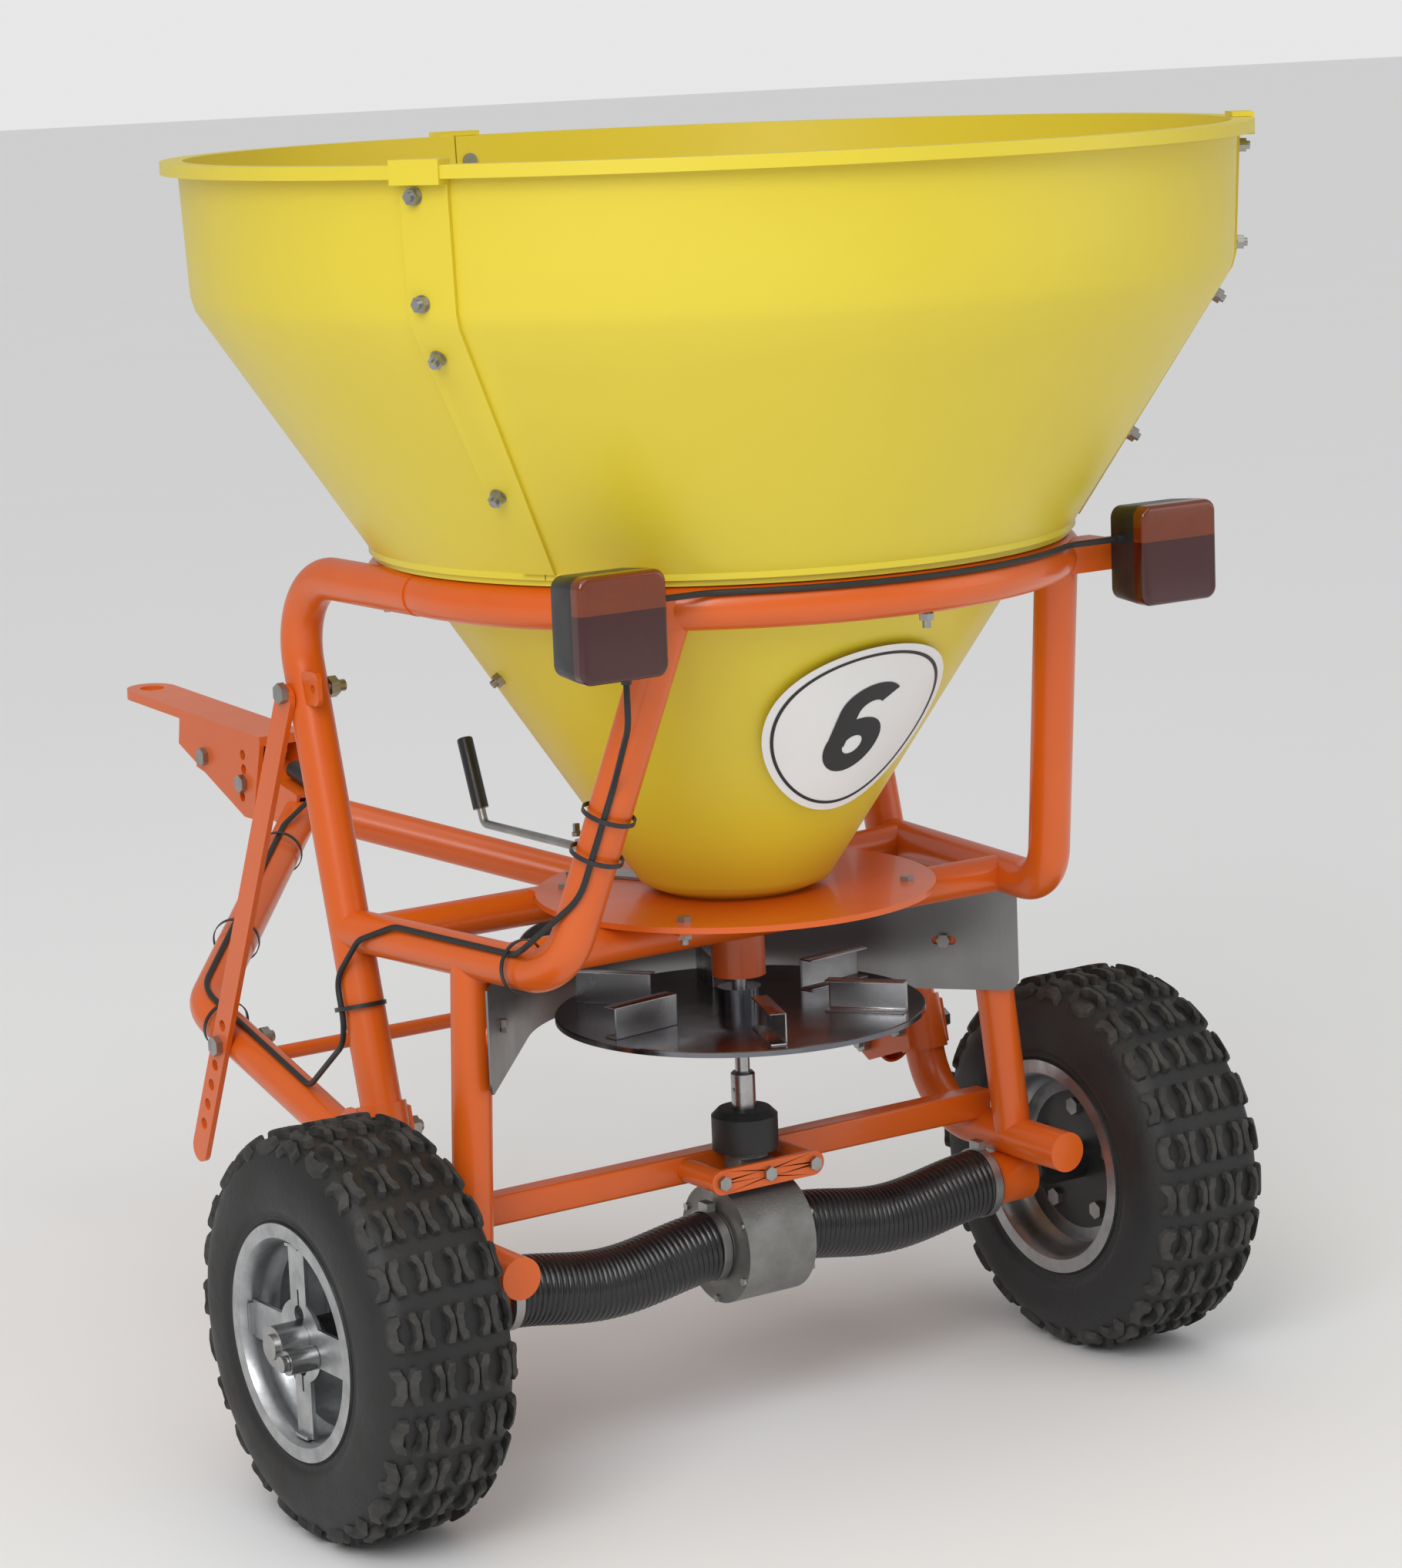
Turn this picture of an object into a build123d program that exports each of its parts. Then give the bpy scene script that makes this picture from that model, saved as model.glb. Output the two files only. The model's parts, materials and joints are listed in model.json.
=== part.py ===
from build123d import *
import math
import os

# A towed garden spreader: hopper on a bent-tube frame, two wheels, and a disc
# that the left wheel turns through an axle and a bevel gearbox.
# Millimetres. X is the machine's right, Y is forward to the hitch, Z is up,
# and the ground is z = 0 under the hopper's axis.

os.makedirs("parts", exist_ok=True)

# ---------------------------------------------------------------- sizes
# running gear
tyre_od = 406.0
tyre_width = 150.0
rim_flange_d = 232.0
rim_seat_d = 203.2
rim_well_d = 184.0
rim_width = 145.0
rim_sheet = 3.0
rim_web_shift = 20.0
rim_web_t = 4.0
rim_web_bore_d = 90.0
tyre_wall = 8.0
wheel_gap = 30.0
axle_d = 25.0
axle_head_d = 40.0
axle_end_out = 95.0
hub_tube_d = 40.0
hub_tube_in = 88.0
hub_tube_out = 42.0
hub_disc_d = 150.0
hub_disc_t = 8.0
hub_bolt_circle_d = 120.0
hub_bolt_count = 5
hub_bolt_d = 10.0
hub_bolt_hex = 17.0
spider_out = 57.0
spider_t = 4.0
spider_reach = 96.5
spider_arm_w = 38.0
spider_post_w = 30.0
spider_tab = 9.0
drive_hub_d = 40.0
lock_housing_d = 24.0
lock_pin_d = 10.0
lock_knob_d = 16.0
lock_y = -26.0
lock_drop = 10.0

# welded frame
tube_d = 42.4
tube_wall = 2.6
cross_d = 38.0
post_d = 40.0
side_x = 335.0
ring_r = 334.0
ring_rise = 697.0
rail_rise = 342.5
arm_rise = 47.0
leg_top_y = 287.0
leg_lean = 0.253
leg_bend_r = 75.0
arm_bend_r = 85.0
arm_rear_y = -104.0
upright_angle = 47.4
rail_rear_x = 294.0
rail_rear_y = -135.0
rail_bend_r = 65.0
rear_cross_y = -47.0
front_cross_y = 160.0
post_top_y = 3.0
post_foot_y = -14.0
housing_d = 56.0
housing_x0 = 290.0
housing_length = 67.0
housing_wall = 5.0
axle_bearing_t = 20.0
tie_bar_rise = 75.0
tie_bar_y = 38.0
tie_bar_height = 30.0
tie_bar_depth = 25.0
stub_x = 56.0
stub_length = 60.0
stub_d = 24.0
sleeve_d = 51.0
sleeve_length = 58.0
sleeve_rise = 142.0
lug_t = 5.0
lug_y = 211.0
lug_rise = 114.0
lug_overhang = 20.0
tab_out = 14.0
plate_tab_t = 5.0
plate_tab_w = 30.0
guard_tab_w = 32.0

# hopper
hopper_wall = 5.0
rim_rise = 1112.0
rim_lip = 17.0
rim_edge_t = 12.0
band_top_r = 514.0
band_low_r = 509.0
band_low_rise = 982.0
seat_lip_t = 6.0
seat_lip_over = 11.0
cone_gap = 7.0
cone_slope = 0.624
bowl_r = 112.0
bowl_foot_r = 74.0
bowl_rise = 34.0
seam_angles = (88.0, 208.0, 328.0)
seam_back = 3.5
seam_front = 2.0
seam_step = 0.3
segment_gap = 0.1
seam_bolt_rises = (1085.0, 991.0, 944.0, 811.0)
ring_bolt_angles = (30.0, 150.0, 270.0)
# the ring is rolled from one tube, and its ends meet at a narrow gap on the hitch side
ring_joint_angle = 90.0
ring_joint_gap = 0.5
cone_bolt_angles = (9.0, 171.0)
cone_bolt_rise = 603.0

# floor plate, gate and lever
plate_r = 202.0
plate_t = 6.0
boss_d = 55.0
boss_length = 86.0
outlet_r0 = 34.0
outlet_r1 = 58.0
outlet_span = 8.0
outlet_angles = (20.0, 90.0, 160.0)
bearing_d = 35.0
bearing_t = 11.0
plate_bolt_x = 135.0
plate_bolt_y = 108.0
gate_t = 3.0
gate_r = 64.0
gate_play = 0.5
gate_travel = 40.0
gate_arm_angle = 117.0
gate_arm_w = 30.0
gate_closed_turn = 40.0
post_block_d = 18.0
lever_rod_d = 9.0
lever_lift = 26.0
lever_reach = 190.0
grip_d = 17.0
grip_length = 78.0

# disc, vanes and drive line
shaft_d = 15.0
disc_r = 188.0
disc_t = 2.5
disc_rise = 241.0
disc_edge = 6.0
vane_count = 6
vane_r0 = 92.0
vane_r1 = 174.0
vane_height = 32.0
vane_depth = 17.0
vane_t = 2.0
vane_turn = 8.0
cup_d = 68.0
cup_rise = 94.0
cup_length = 42.0
cup_wall = 5.0
shaft_sleeve_d = 25.0
shaft_sleeve_top = 80.0
cross_pin_d = 4.0
shaft_neck_d = 10.0
agitator_d = 8.0
agitator_span = 150.0
gear_case_d = 123.0
gear_case_width = 82.0
gear_case_wall = 8.0
gear_cover_t = 8.0
case_neck_d = 44.0
case_screw_d = 5.0
case_screw_count = 6
spigot_length = 19.0
gear_module = 2.75
crown_teeth = 36
pinion_teeth = 9
gear_face = 10.0
duct_d = 72.0
duct_wall = 2.0
duct_sag = 14.5
duct_bend_r = 200.0
clamp_w = 10.0
clamp_t = 1.2

# guard sheet round the front of the disc
guard_t = 2.0
guard_low_rise = 212.0
guard_top_rise = 318.0
guard_wing = 242.0
guard_turn = 40.0
guard_bolt_run = 163.0
guard_bolt_rise = 264.5

# drawbar and hitch
bend_y = 530.0
bend_rise = 203.0
apex_y = 905.0
apex_rise = 325.0
drawbar_bend_r = 80.0
head_w = 50.0
head_h = 50.0
head_length = 250.0
head_wall = 4.0
head_tilt = 12.0
head_back = 25.0
brace_d = 16.0
brace_y = 412.0
hitch_bolt_y = 1093.0
hitch_set_r = 100.0
tongue_tilt = 3.0
tongue_back = 340.0
cheek_t = 6.0
tongue_t = 12.0
tongue_rise = 414.0
eye_y = 1289.0
eye_d = 30.0
strut_w = 30.0
strut_t = 6.0
strut_top_rise = 579.0
strut_hole_step = 26.0
strut_tail = 145.0
strut_bolt_y = 449.0

# lamps
bracket_h = 32.0
bracket_t = 4.0
bracket_root_x = 225.0
lamp_stud_d = 6.0
gland_shift = 20.0
gland_d = 10.0
gland_length = 12.0
gland_set = 4.0
lens_split = 14.0
lamp_w = 94.0
lamp_h = 98.0
lamp_depth = 38.0
lens_depth = 14.0
lamp_x = 323.0
lamp_y = -318.0

# fasteners and fits
m8_d = 8.0
m8_hex = 13.0
m12_d = 12.0
m12_hex = 19.0
hole_play = 0.3
snug = 0.02
running = 0.05
face_gap = 0.5
cable_d = 6.0
cable_gap = 0.3
cable_ring_r = 353.0
tie_t = 1.2
tie_w = 4.5
plug_d = 22.0
plug_length = 46.0

# ---------------------------------------------------------------- levels
axle_z = tyre_od / 2
ring_z = axle_z + ring_rise
rim_z = axle_z + rim_rise
rail_z = axle_z + rail_rise
arm_z = axle_z + arm_rise
tie_z = axle_z + tie_bar_rise
plate_z0 = rail_z + cross_d / 2
plate_z1 = plate_z0 + plate_t
disc_z = axle_z + disc_rise
tube_r = tube_d / 2
wheel_x = side_x + tube_r + wheel_gap + tyre_width / 2
pinion_pitch_r = gear_module * pinion_teeth / 2
crown_pitch_r = gear_module * crown_teeth / 2
seat_z = ring_z + tube_r

nodes = {}


def finish(name, part):
    part.label = name
    nodes[name] = part
    export_step(part, f"parts/{name}.step")


def leg_y(z):
    """Y of the front leg's centre line at height z."""
    return leg_top_y - (ring_z - z) * leg_lean


def unit(v):
    size = math.sqrt(sum(c * c for c in v))
    return tuple(c / size for c in v)


def along(a, b):
    """Plane at a whose normal looks at b."""
    return Plane(origin=a, z_dir=unit(tuple(q - p for p, q in zip(a, b))))


def round_bar(a, b, d):
    """Solid round bar from a to b, used to cut and to fasten."""
    with BuildPart() as bar:
        with BuildSketch(along(a, b)):
            Circle(d / 2)
        extrude(amount=math.dist(a, b))
    return bar.part


def bent_tube(points, bend, d, wall, cuts=()):
    """Round tube along straight runs with bends of one radius; wall 0 is solid."""
    with BuildPart() as tube:
        with BuildLine() as path:
            if len(points) > 2:
                FilletPolyline(*points, radius=bend)
            else:
                Polyline(*points)
        with BuildSketch(along(points[0], points[1])):
            Circle(d / 2)
            if wall:
                Circle(d / 2 - wall, mode=Mode.SUBTRACT)
        sweep(path=path.wires()[0])
        for cut in cuts:
            add(cut, mode=Mode.SUBTRACT)
    return tube.part


def mirrored(part):
    with BuildPart() as other:
        mirror(part, about=Plane.YZ)
    return other.part


def pair(name, part):
    """A left piece and its mirror image as two solids of one node."""
    with BuildPart() as both:
        add(part)
        add(mirrored(part))
    finish(name, both.part)


def hex_bolt(head_at, tip_at, d, hexagon, grip=None):
    """Hex bolt from under its head to its tip, with a nut where grip says."""
    with BuildPart() as bolt:
        with BuildSketch(along(head_at, tip_at)):
            Circle(d / 2)
        extrude(amount=math.dist(head_at, tip_at))
        with BuildSketch(along(head_at, tip_at)):
            RegularPolygon(hexagon / 2, 6, major_radius=False)
        extrude(amount=-d * 0.62)
        if grip is not None:
            nut_plane = along(head_at, tip_at).offset(grip)
            with BuildSketch(nut_plane):
                RegularPolygon(hexagon / 2, 6, major_radius=False)
            extrude(amount=d * 0.8)
    return bolt.part


# ---------------------------------------------------------------- seat ring


with BuildPart() as seat_ring:
    with BuildSketch(Plane.XZ.rotated((0, 0, ring_joint_angle + ring_joint_gap / 2))):
        with Locations((ring_r, ring_z)):
            Circle(tube_r)
            Circle(tube_r - tube_wall, mode=Mode.SUBTRACT)
    revolve(axis=Axis.Z, revolution_arc=360 - ring_joint_gap)
    for turn in ring_bolt_angles:
        x = ring_r * math.cos(math.radians(turn))
        y = ring_r * math.sin(math.radians(turn))
        with Locations((x, y, ring_z)):
            Cylinder(m8_d / 2 + hole_play, 1.5 * tube_d, mode=Mode.SUBTRACT)
finish("seat_ring", seat_ring.part)

with BuildPart() as ring_envelope:
    with BuildSketch(Plane.XZ):
        with Locations((ring_r, ring_z)):
            Circle(tube_r)
    revolve(axis=Axis.Z)

with BuildPart() as ring_arc:
    with BuildSketch(Plane.XZ.rotated((0, 0, 180 + upright_angle - 25))):
        with Locations((ring_r, ring_z)):
            Circle(tube_r)
    revolve(axis=Axis.Z, revolution_arc=50)

# ---------------------------------------------------------------- front legs
sleeve_z = axle_z + sleeve_rise
leg_foot_z = sleeve_z - 6
leg_head = (-side_x, leg_top_y, ring_z)
leg_foot = (-side_x, leg_y(leg_foot_z), leg_foot_z)
front_leg = bent_tube(
    [(-side_x, tube_r, ring_z), leg_head, leg_foot],
    leg_bend_r, tube_d, tube_wall, [ring_envelope.part],
)
front_leg = max(front_leg.solids(), key=lambda s: s.volume)

# ---------------------------------------------------------------- rear uprights and rails
upright_top = (
    -ring_r * math.cos(math.radians(upright_angle)),
    -ring_r * math.sin(math.radians(upright_angle)),
    ring_z,
)
rail_rear = (-rail_rear_x, rail_rear_y, rail_z)
rail_front = (-side_x, leg_y(rail_z), rail_z)
leg_bar = round_bar(leg_head, (-side_x, leg_y(axle_z), axle_z), tube_d)
upright = bent_tube(
    [upright_top, rail_rear, rail_front],
    rail_bend_r, tube_d, tube_wall, [ring_arc.part, leg_bar],
)
upright = max(upright.solids(), key=lambda s: s.volume)
rail_bar = round_bar(rail_rear, rail_front, tube_d)

# ---------------------------------------------------------------- cross tubes under the floor plate


def cross_tube(y):
    tube = bent_tube([(-side_x, y, rail_z), (side_x, y, rail_z)], 1, cross_d, tube_wall,
                     [rail_bar, mirrored(rail_bar), leg_bar, mirrored(leg_bar)])
    return max(tube.solids(), key=lambda s: s.volume)


rear_cross = cross_tube(rear_cross_y)
front_cross = cross_tube(front_cross_y)

# ---------------------------------------------------------------- axle arms with bearing housings
arm_front = (-side_x, leg_y(arm_z), arm_z)
arm_rear = (-side_x, arm_rear_y, arm_z)
arm_top = (-side_x, leg_y(leg_foot_z - face_gap), leg_foot_z - face_gap)
arm_bar = round_bar((-side_x, arm_rear_y, arm_z), arm_front, tube_d)
with BuildPart() as axle_arm:
    with BuildLine() as arm_path:
        FilletPolyline(arm_rear, arm_front, arm_top, radius=arm_bend_r)
    with BuildSketch(along(arm_rear, arm_front)):
        Circle(tube_r)
        Circle(tube_r - tube_wall, mode=Mode.SUBTRACT)
    sweep(path=arm_path.wires()[0])
    with BuildSketch(along(arm_rear, arm_front)):
        Circle(tube_r)
    extrude(amount=tube_wall)
    with BuildSketch(Plane.YZ.offset(-housing_x0 - housing_length)):
        with Locations((0, axle_z)):
            Circle(housing_d / 2)
    extrude(amount=housing_length)
    with BuildSketch(Plane.YZ.offset(-housing_x0 - housing_length - 1)):
        with Locations((0, axle_z)):
            Circle(housing_d / 2 - housing_wall)
    extrude(amount=housing_length + 2, mode=Mode.SUBTRACT)

# ---------------------------------------------------------------- rear posts and tie bar
post_top = (-(rail_rear_x + 17), post_top_y, rail_z)
post_foot = (-side_x, post_foot_y, arm_z)
post = bent_tube([post_top, post_foot], 1, post_d, tube_wall,
                 [rail_bar, arm_bar, round_bar((-side_x, rear_cross_y, rail_z),
                                               (side_x, rear_cross_y, rail_z), cross_d)])
post = max(post.solids(), key=lambda s: s.volume)

with BuildPart() as tie_bar:
    with BuildSketch(Plane.YZ.offset(-side_x)):
        with Locations((tie_bar_y, tie_z)):
            RectangleRounded(tie_bar_depth, tie_bar_height, 3)
            Rectangle(tie_bar_depth - 2 * tube_wall, tie_bar_height - 2 * tube_wall,
                      mode=Mode.SUBTRACT)
    extrude(amount=2 * side_x)
    add(arm_bar, mode=Mode.SUBTRACT)
    add(mirrored(arm_bar), mode=Mode.SUBTRACT)
tie_solid = max(tie_bar.part.solids(), key=lambda s: s.volume)
stub_y1 = tie_bar_y - tie_bar_depth / 2
stub_y0 = stub_y1 - stub_length
with BuildPart() as tie_bar_whole:
    add(tie_solid)
    with BuildSketch(Plane.XZ.offset(-stub_y1)):
        with Locations((-stub_x, tie_z), (stub_x, tie_z)):
            Circle(stub_d / 2)
    extrude(amount=stub_length)
    for x in (-stub_x, stub_x):
        with BuildSketch(Plane.XZ.offset(-stub_y0)):
            with Locations((x, tie_z)):
                Circle(m8_d / 2 + hole_play)
        extrude(amount=-stub_length, mode=Mode.SUBTRACT)

# ---------------------------------------------------------------- leg sleeves with drawbar lugs
leg_dir = unit((0, leg_lean, 1))
sleeve_a = (-side_x, leg_y(sleeve_z) - leg_dir[1] * sleeve_length / 2,
            sleeve_z - leg_dir[2] * sleeve_length / 2)
sleeve_b = (-side_x, leg_y(sleeve_z) + leg_dir[1] * sleeve_length / 2,
            sleeve_z + leg_dir[2] * sleeve_length / 2)
pivot_z = axle_z + lug_rise
lug_x0 = side_x - tube_r - face_gap
with BuildPart() as leg_sleeve:
    with BuildSketch(along(sleeve_a, sleeve_b)):
        Circle(sleeve_d / 2)
    extrude(amount=sleeve_length)
    for x in (-lug_x0, -2 * side_x + lug_x0 - lug_t):
        with BuildSketch(Plane.YZ.offset(x)):
            with BuildLine():
                Polyline(
                    (leg_y(sleeve_z) - 6, sleeve_z + 24),
                    (leg_y(sleeve_z) - 16, sleeve_z - 22),
                    (lug_y - 4, pivot_z - 21),
                    (lug_y + 20, pivot_z - 8),
                    (lug_y + 20, pivot_z + 14),
                    (leg_y(sleeve_z) + 30, sleeve_z + 24),
                    close=True,
                )
            make_face()
        extrude(amount=lug_t)
    add(round_bar(leg_head, (-side_x, leg_y(axle_z), axle_z), tube_d + 2 * snug),
        mode=Mode.SUBTRACT)
    for y, z in ((lug_y, pivot_z), (leg_y(sleeve_z), sleeve_z)):
        with BuildSketch(Plane.YZ.offset(-side_x - sleeve_d)):
            with Locations((y, z)):
                Circle(m12_d / 2 + hole_play)
        extrude(amount=2 * sleeve_d, mode=Mode.SUBTRACT)

# ---------------------------------------------------------------- drawbar
bend_z = axle_z + bend_rise
apex_z = axle_z + apex_rise
head_y0 = apex_y - head_back
drawbar_bend = (-side_x, bend_y, bend_z)
drawbar_apex = (0, apex_y, apex_z)
bar_dir = unit((0, bend_y - lug_y, bend_z - pivot_z))
drawbar_foot = (-side_x, lug_y - lug_overhang * bar_dir[1], pivot_z - lug_overhang * bar_dir[2])
head_dir = (0, math.cos(math.radians(head_tilt)), math.sin(math.radians(head_tilt)))
head_plane = Plane(origin=(0, head_y0, apex_z - 3), x_dir=(1, 0, 0), z_dir=head_dir)
with BuildPart() as head_block:
    with BuildSketch(head_plane):
        Rectangle(head_w, head_h)
    extrude(amount=head_length)
with BuildPart() as drawbar_arm:
    with BuildLine() as drawbar_path:
        FilletPolyline(drawbar_foot, drawbar_bend, drawbar_apex, radius=drawbar_bend_r)
    with BuildSketch(along(drawbar_foot, drawbar_bend)):
        Circle(tube_r)
        Circle(tube_r - tube_wall, mode=Mode.SUBTRACT)
    sweep(path=drawbar_path.wires()[0])
    add(head_block.part, mode=Mode.SUBTRACT)
    with BuildSketch(Plane.YZ.offset(-side_x - tube_d)):
        with Locations((lug_y, pivot_z)):
            Circle(m12_d / 2 + hole_play)
    extrude(amount=2 * tube_d, mode=Mode.SUBTRACT)
    split(bisect_by=Plane.YZ, keep=Keep.BOTTOM)
drawbar_arm = max(drawbar_arm.part.solids(), key=lambda s: s.volume)


def bar_z(y):
    """Z of the drawbar's lower run at y."""
    return pivot_z + (y - lug_y) * (bend_z - pivot_z) / (bend_y - lug_y)


with BuildPart() as drawbar_brace:
    with BuildSketch(Plane.YZ.offset(-side_x)):
        with Locations((brace_y, bar_z(brace_y))):
            Circle(brace_d / 2)
    extrude(amount=2 * side_x)
    bar_envelope = round_bar(drawbar_foot, drawbar_bend, tube_d)
    add(bar_envelope, mode=Mode.SUBTRACT)
    add(mirrored(bar_envelope), mode=Mode.SUBTRACT)
finish("drawbar_brace", max(drawbar_brace.part.solids(), key=lambda s: s.volume))

# hitch bolts: the tongue tips about the front one and is set by the rear one
hitch_bolt_z = head_plane.origin.Z + (hitch_bolt_y - head_y0) * math.tan(math.radians(head_tilt))
rear_bolt = (hitch_bolt_y - hitch_set_r * math.cos(math.radians(head_tilt)),
             hitch_bolt_z - hitch_set_r * math.sin(math.radians(head_tilt)))
with BuildPart() as drawbar_head:
    with BuildSketch(head_plane):
        Rectangle(head_w, head_h)
        Rectangle(head_w - 2 * head_wall, head_h - 2 * head_wall, mode=Mode.SUBTRACT)
    extrude(amount=head_length)
    with BuildSketch(Plane.YZ.offset(-head_w)):
        with Locations((hitch_bolt_y, hitch_bolt_z), rear_bolt):
            Circle(m12_d / 2 + hole_play)
    extrude(amount=2 * head_w, mode=Mode.SUBTRACT)
finish("drawbar_head", drawbar_head.part)

# ---------------------------------------------------------------- hitch tongue
eye_z = axle_z + tongue_rise
cheek_x = head_w / 2 + face_gap
tongue_half = cheek_x + cheek_t
tongue_dir = (0, math.cos(math.radians(tongue_tilt)), math.sin(math.radians(tongue_tilt)))
tongue_plane = Plane(origin=(0, eye_y, eye_z), x_dir=(1, 0, 0),
                     z_dir=(0, -tongue_dir[2], tongue_dir[1]))
with BuildPart() as tongue:
    with BuildSketch(tongue_plane):
        with Locations((0, -tongue_back / 2)):
            Rectangle(2 * tongue_half, tongue_back)
        Circle(tongue_half)
        Circle(eye_d / 2, mode=Mode.SUBTRACT)
    extrude(amount=tongue_t)
    for x in (-tongue_half, cheek_x):
        with BuildSketch(Plane.YZ.offset(x)):
            with BuildLine():
                Polyline(
                    (eye_y - tongue_back, eye_z - 17),
                    (eye_y - tongue_back + 12, eye_z - 60),
                    (hitch_bolt_y - 118, hitch_bolt_z - 62),
                    (hitch_bolt_y - 96, hitch_bolt_z - 62),
                    (hitch_bolt_y + 68, hitch_bolt_z + 8),
                    (hitch_bolt_y + 62, eye_z - 6),
                    close=True,
                )
            make_face()
        extrude(amount=cheek_t)
    with BuildSketch(Plane.YZ.offset(-2 * tongue_half)):
        with Locations((hitch_bolt_y, hitch_bolt_z)):
            Circle(m12_d / 2 + hole_play)
        for step in (-2, -1, 0, 1):
            turn = math.radians(180 + head_tilt + step * 10)
            with Locations((hitch_bolt_y + hitch_set_r * math.cos(turn), hitch_bolt_z + hitch_set_r * math.sin(turn))):
                Circle(m12_d / 2 + hole_play)
    extrude(amount=4 * tongue_half, mode=Mode.SUBTRACT)
finish("tongue", tongue.part)

# ---------------------------------------------------------------- struts from the legs to the drawbar
strut_x = side_x + tube_r + face_gap
strut_top_z = axle_z + strut_top_rise
strut_top = (leg_y(strut_top_z), strut_top_z)
strut_bolt = (strut_bolt_y, bar_z(strut_bolt_y))
strut_run = math.dist(strut_top, strut_bolt)
strut_dir = ((strut_bolt[0] - strut_top[0]) / strut_run, (strut_bolt[1] - strut_top[1]) / strut_run)
strut_plane = Plane(origin=(-strut_x, strut_top[0], strut_top[1]),
                    x_dir=(0, strut_dir[0], strut_dir[1]), z_dir=(-1, 0, 0))
with BuildPart() as strut:
    with BuildSketch(strut_plane):
        with Locations(((strut_run + strut_tail) / 2, 0)):
            SlotCenterToCenter(strut_run + strut_tail - strut_w / 2, strut_w)
        with Locations([(0, 0)] + [(strut_run + k * strut_hole_step, 0) for k in (-1, 0, 1, 2, 3, 4)]):
            Circle(m12_d / 2 + hole_play, mode=Mode.SUBTRACT)
    extrude(amount=strut_t)
pair("struts", strut.part)

# bolts through the legs, sleeves and drawbar, one left set then mirrored


def side_bolt(y, z, x_out, x_in, grip):
    return hex_bolt((-x_out, y, z), (-x_in, y, z), m12_d, m12_hex, grip)


lug_out = lug_t + side_x + (side_x - lug_x0)
with BuildPart() as m12_left:
    add(side_bolt(strut_top[0], strut_top[1], strut_x + strut_t, side_x - tube_r - 20,
                  strut_x + strut_t - side_x + tube_r + 1))
    add(side_bolt(strut_bolt[0], strut_bolt[1], strut_x + strut_t, side_x - tube_r - 16,
                  strut_x + strut_t - side_x + tube_r + 1))
    for y, z in ((lug_y, pivot_z), (leg_y(sleeve_z), sleeve_z)):
        add(side_bolt(y, z, lug_out, lug_x0 - lug_t - 14, lug_out - lug_x0 + lug_t))
with BuildPart() as m12_bolts:
    add(m12_left.part)
    add(mirrored(m12_left.part))
    for y, z in ((hitch_bolt_y, hitch_bolt_z), rear_bolt):
        add(hex_bolt((-tongue_half, y, z), (tongue_half + 14, y, z), m12_d, m12_hex,
                     2 * tongue_half))
finish("m12_bolts", m12_bolts.part)


# the legs and the drawbar take their bolt holes last
def bored(part, y, z):
    with BuildPart() as piece:
        add(part)
        with BuildSketch(Plane.YZ.offset(-side_x - tube_d)):
            with Locations((y, z)):
                Circle(m12_d / 2 + hole_play)
        extrude(amount=2 * tube_d, mode=Mode.SUBTRACT)
    return piece.part.solids()[0]


pair("drawbar_arms", bored(drawbar_arm, strut_bolt[0], strut_bolt[1]))
front_leg = bored(bored(front_leg, strut_top[0], strut_top[1]), leg_y(sleeve_z), sleeve_z)
with BuildPart() as tabbed_leg:
    add(front_leg)
    with BuildSketch(Plane.YZ.offset(-side_x - tab_out)):
        with Locations((strut_top[0] - tube_r - 8, strut_top_z + 6)):
            RectangleRounded(34, 34, 8)
    extrude(amount=lug_t)
    with BuildSketch(Plane.YZ.offset(-side_x - tab_out)):
        with Locations((strut_top[0] - tube_r - 14, strut_top_z + 6)):
            Circle(m8_d / 2 + hole_play)
    extrude(amount=lug_t, mode=Mode.SUBTRACT)
    add(round_bar(leg_head, leg_foot, tube_d - 2 * tube_wall), mode=Mode.SUBTRACT)
pair("front_legs", tabbed_leg.part)
pair("rear_uprights", upright)
pair("axle_arms", axle_arm.part)
pair("leg_sleeves", leg_sleeve.part)
with BuildPart() as cross_tubes:
    add(rear_cross)
    add(front_cross)
    # welded ears that the floor plate is bolted to
    for x in (-plate_bolt_x, plate_bolt_x):
        for y0, y1 in ((rear_cross_y, -plate_bolt_y - plate_tab_w / 2),
                       (front_cross_y, plate_bolt_y - plate_tab_w / 2)):
            with BuildSketch(Plane.XY.offset(plate_z0 - plate_tab_t)):
                with Locations((x, (y0 + y1) / 2)):
                    Rectangle(plate_tab_w, abs(y1 - y0))
            extrude(amount=plate_tab_t)
    with BuildSketch(Plane.XY.offset(plate_z0 - plate_tab_t)):
        with GridLocations(2 * plate_bolt_x, 2 * plate_bolt_y, 2, 2):
            Circle(m8_d / 2 + hole_play)
    extrude(amount=plate_tab_t, mode=Mode.SUBTRACT)
finish("cross_tubes", cross_tubes.part)
finish("tie_bar", tie_bar_whole.part)

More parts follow.
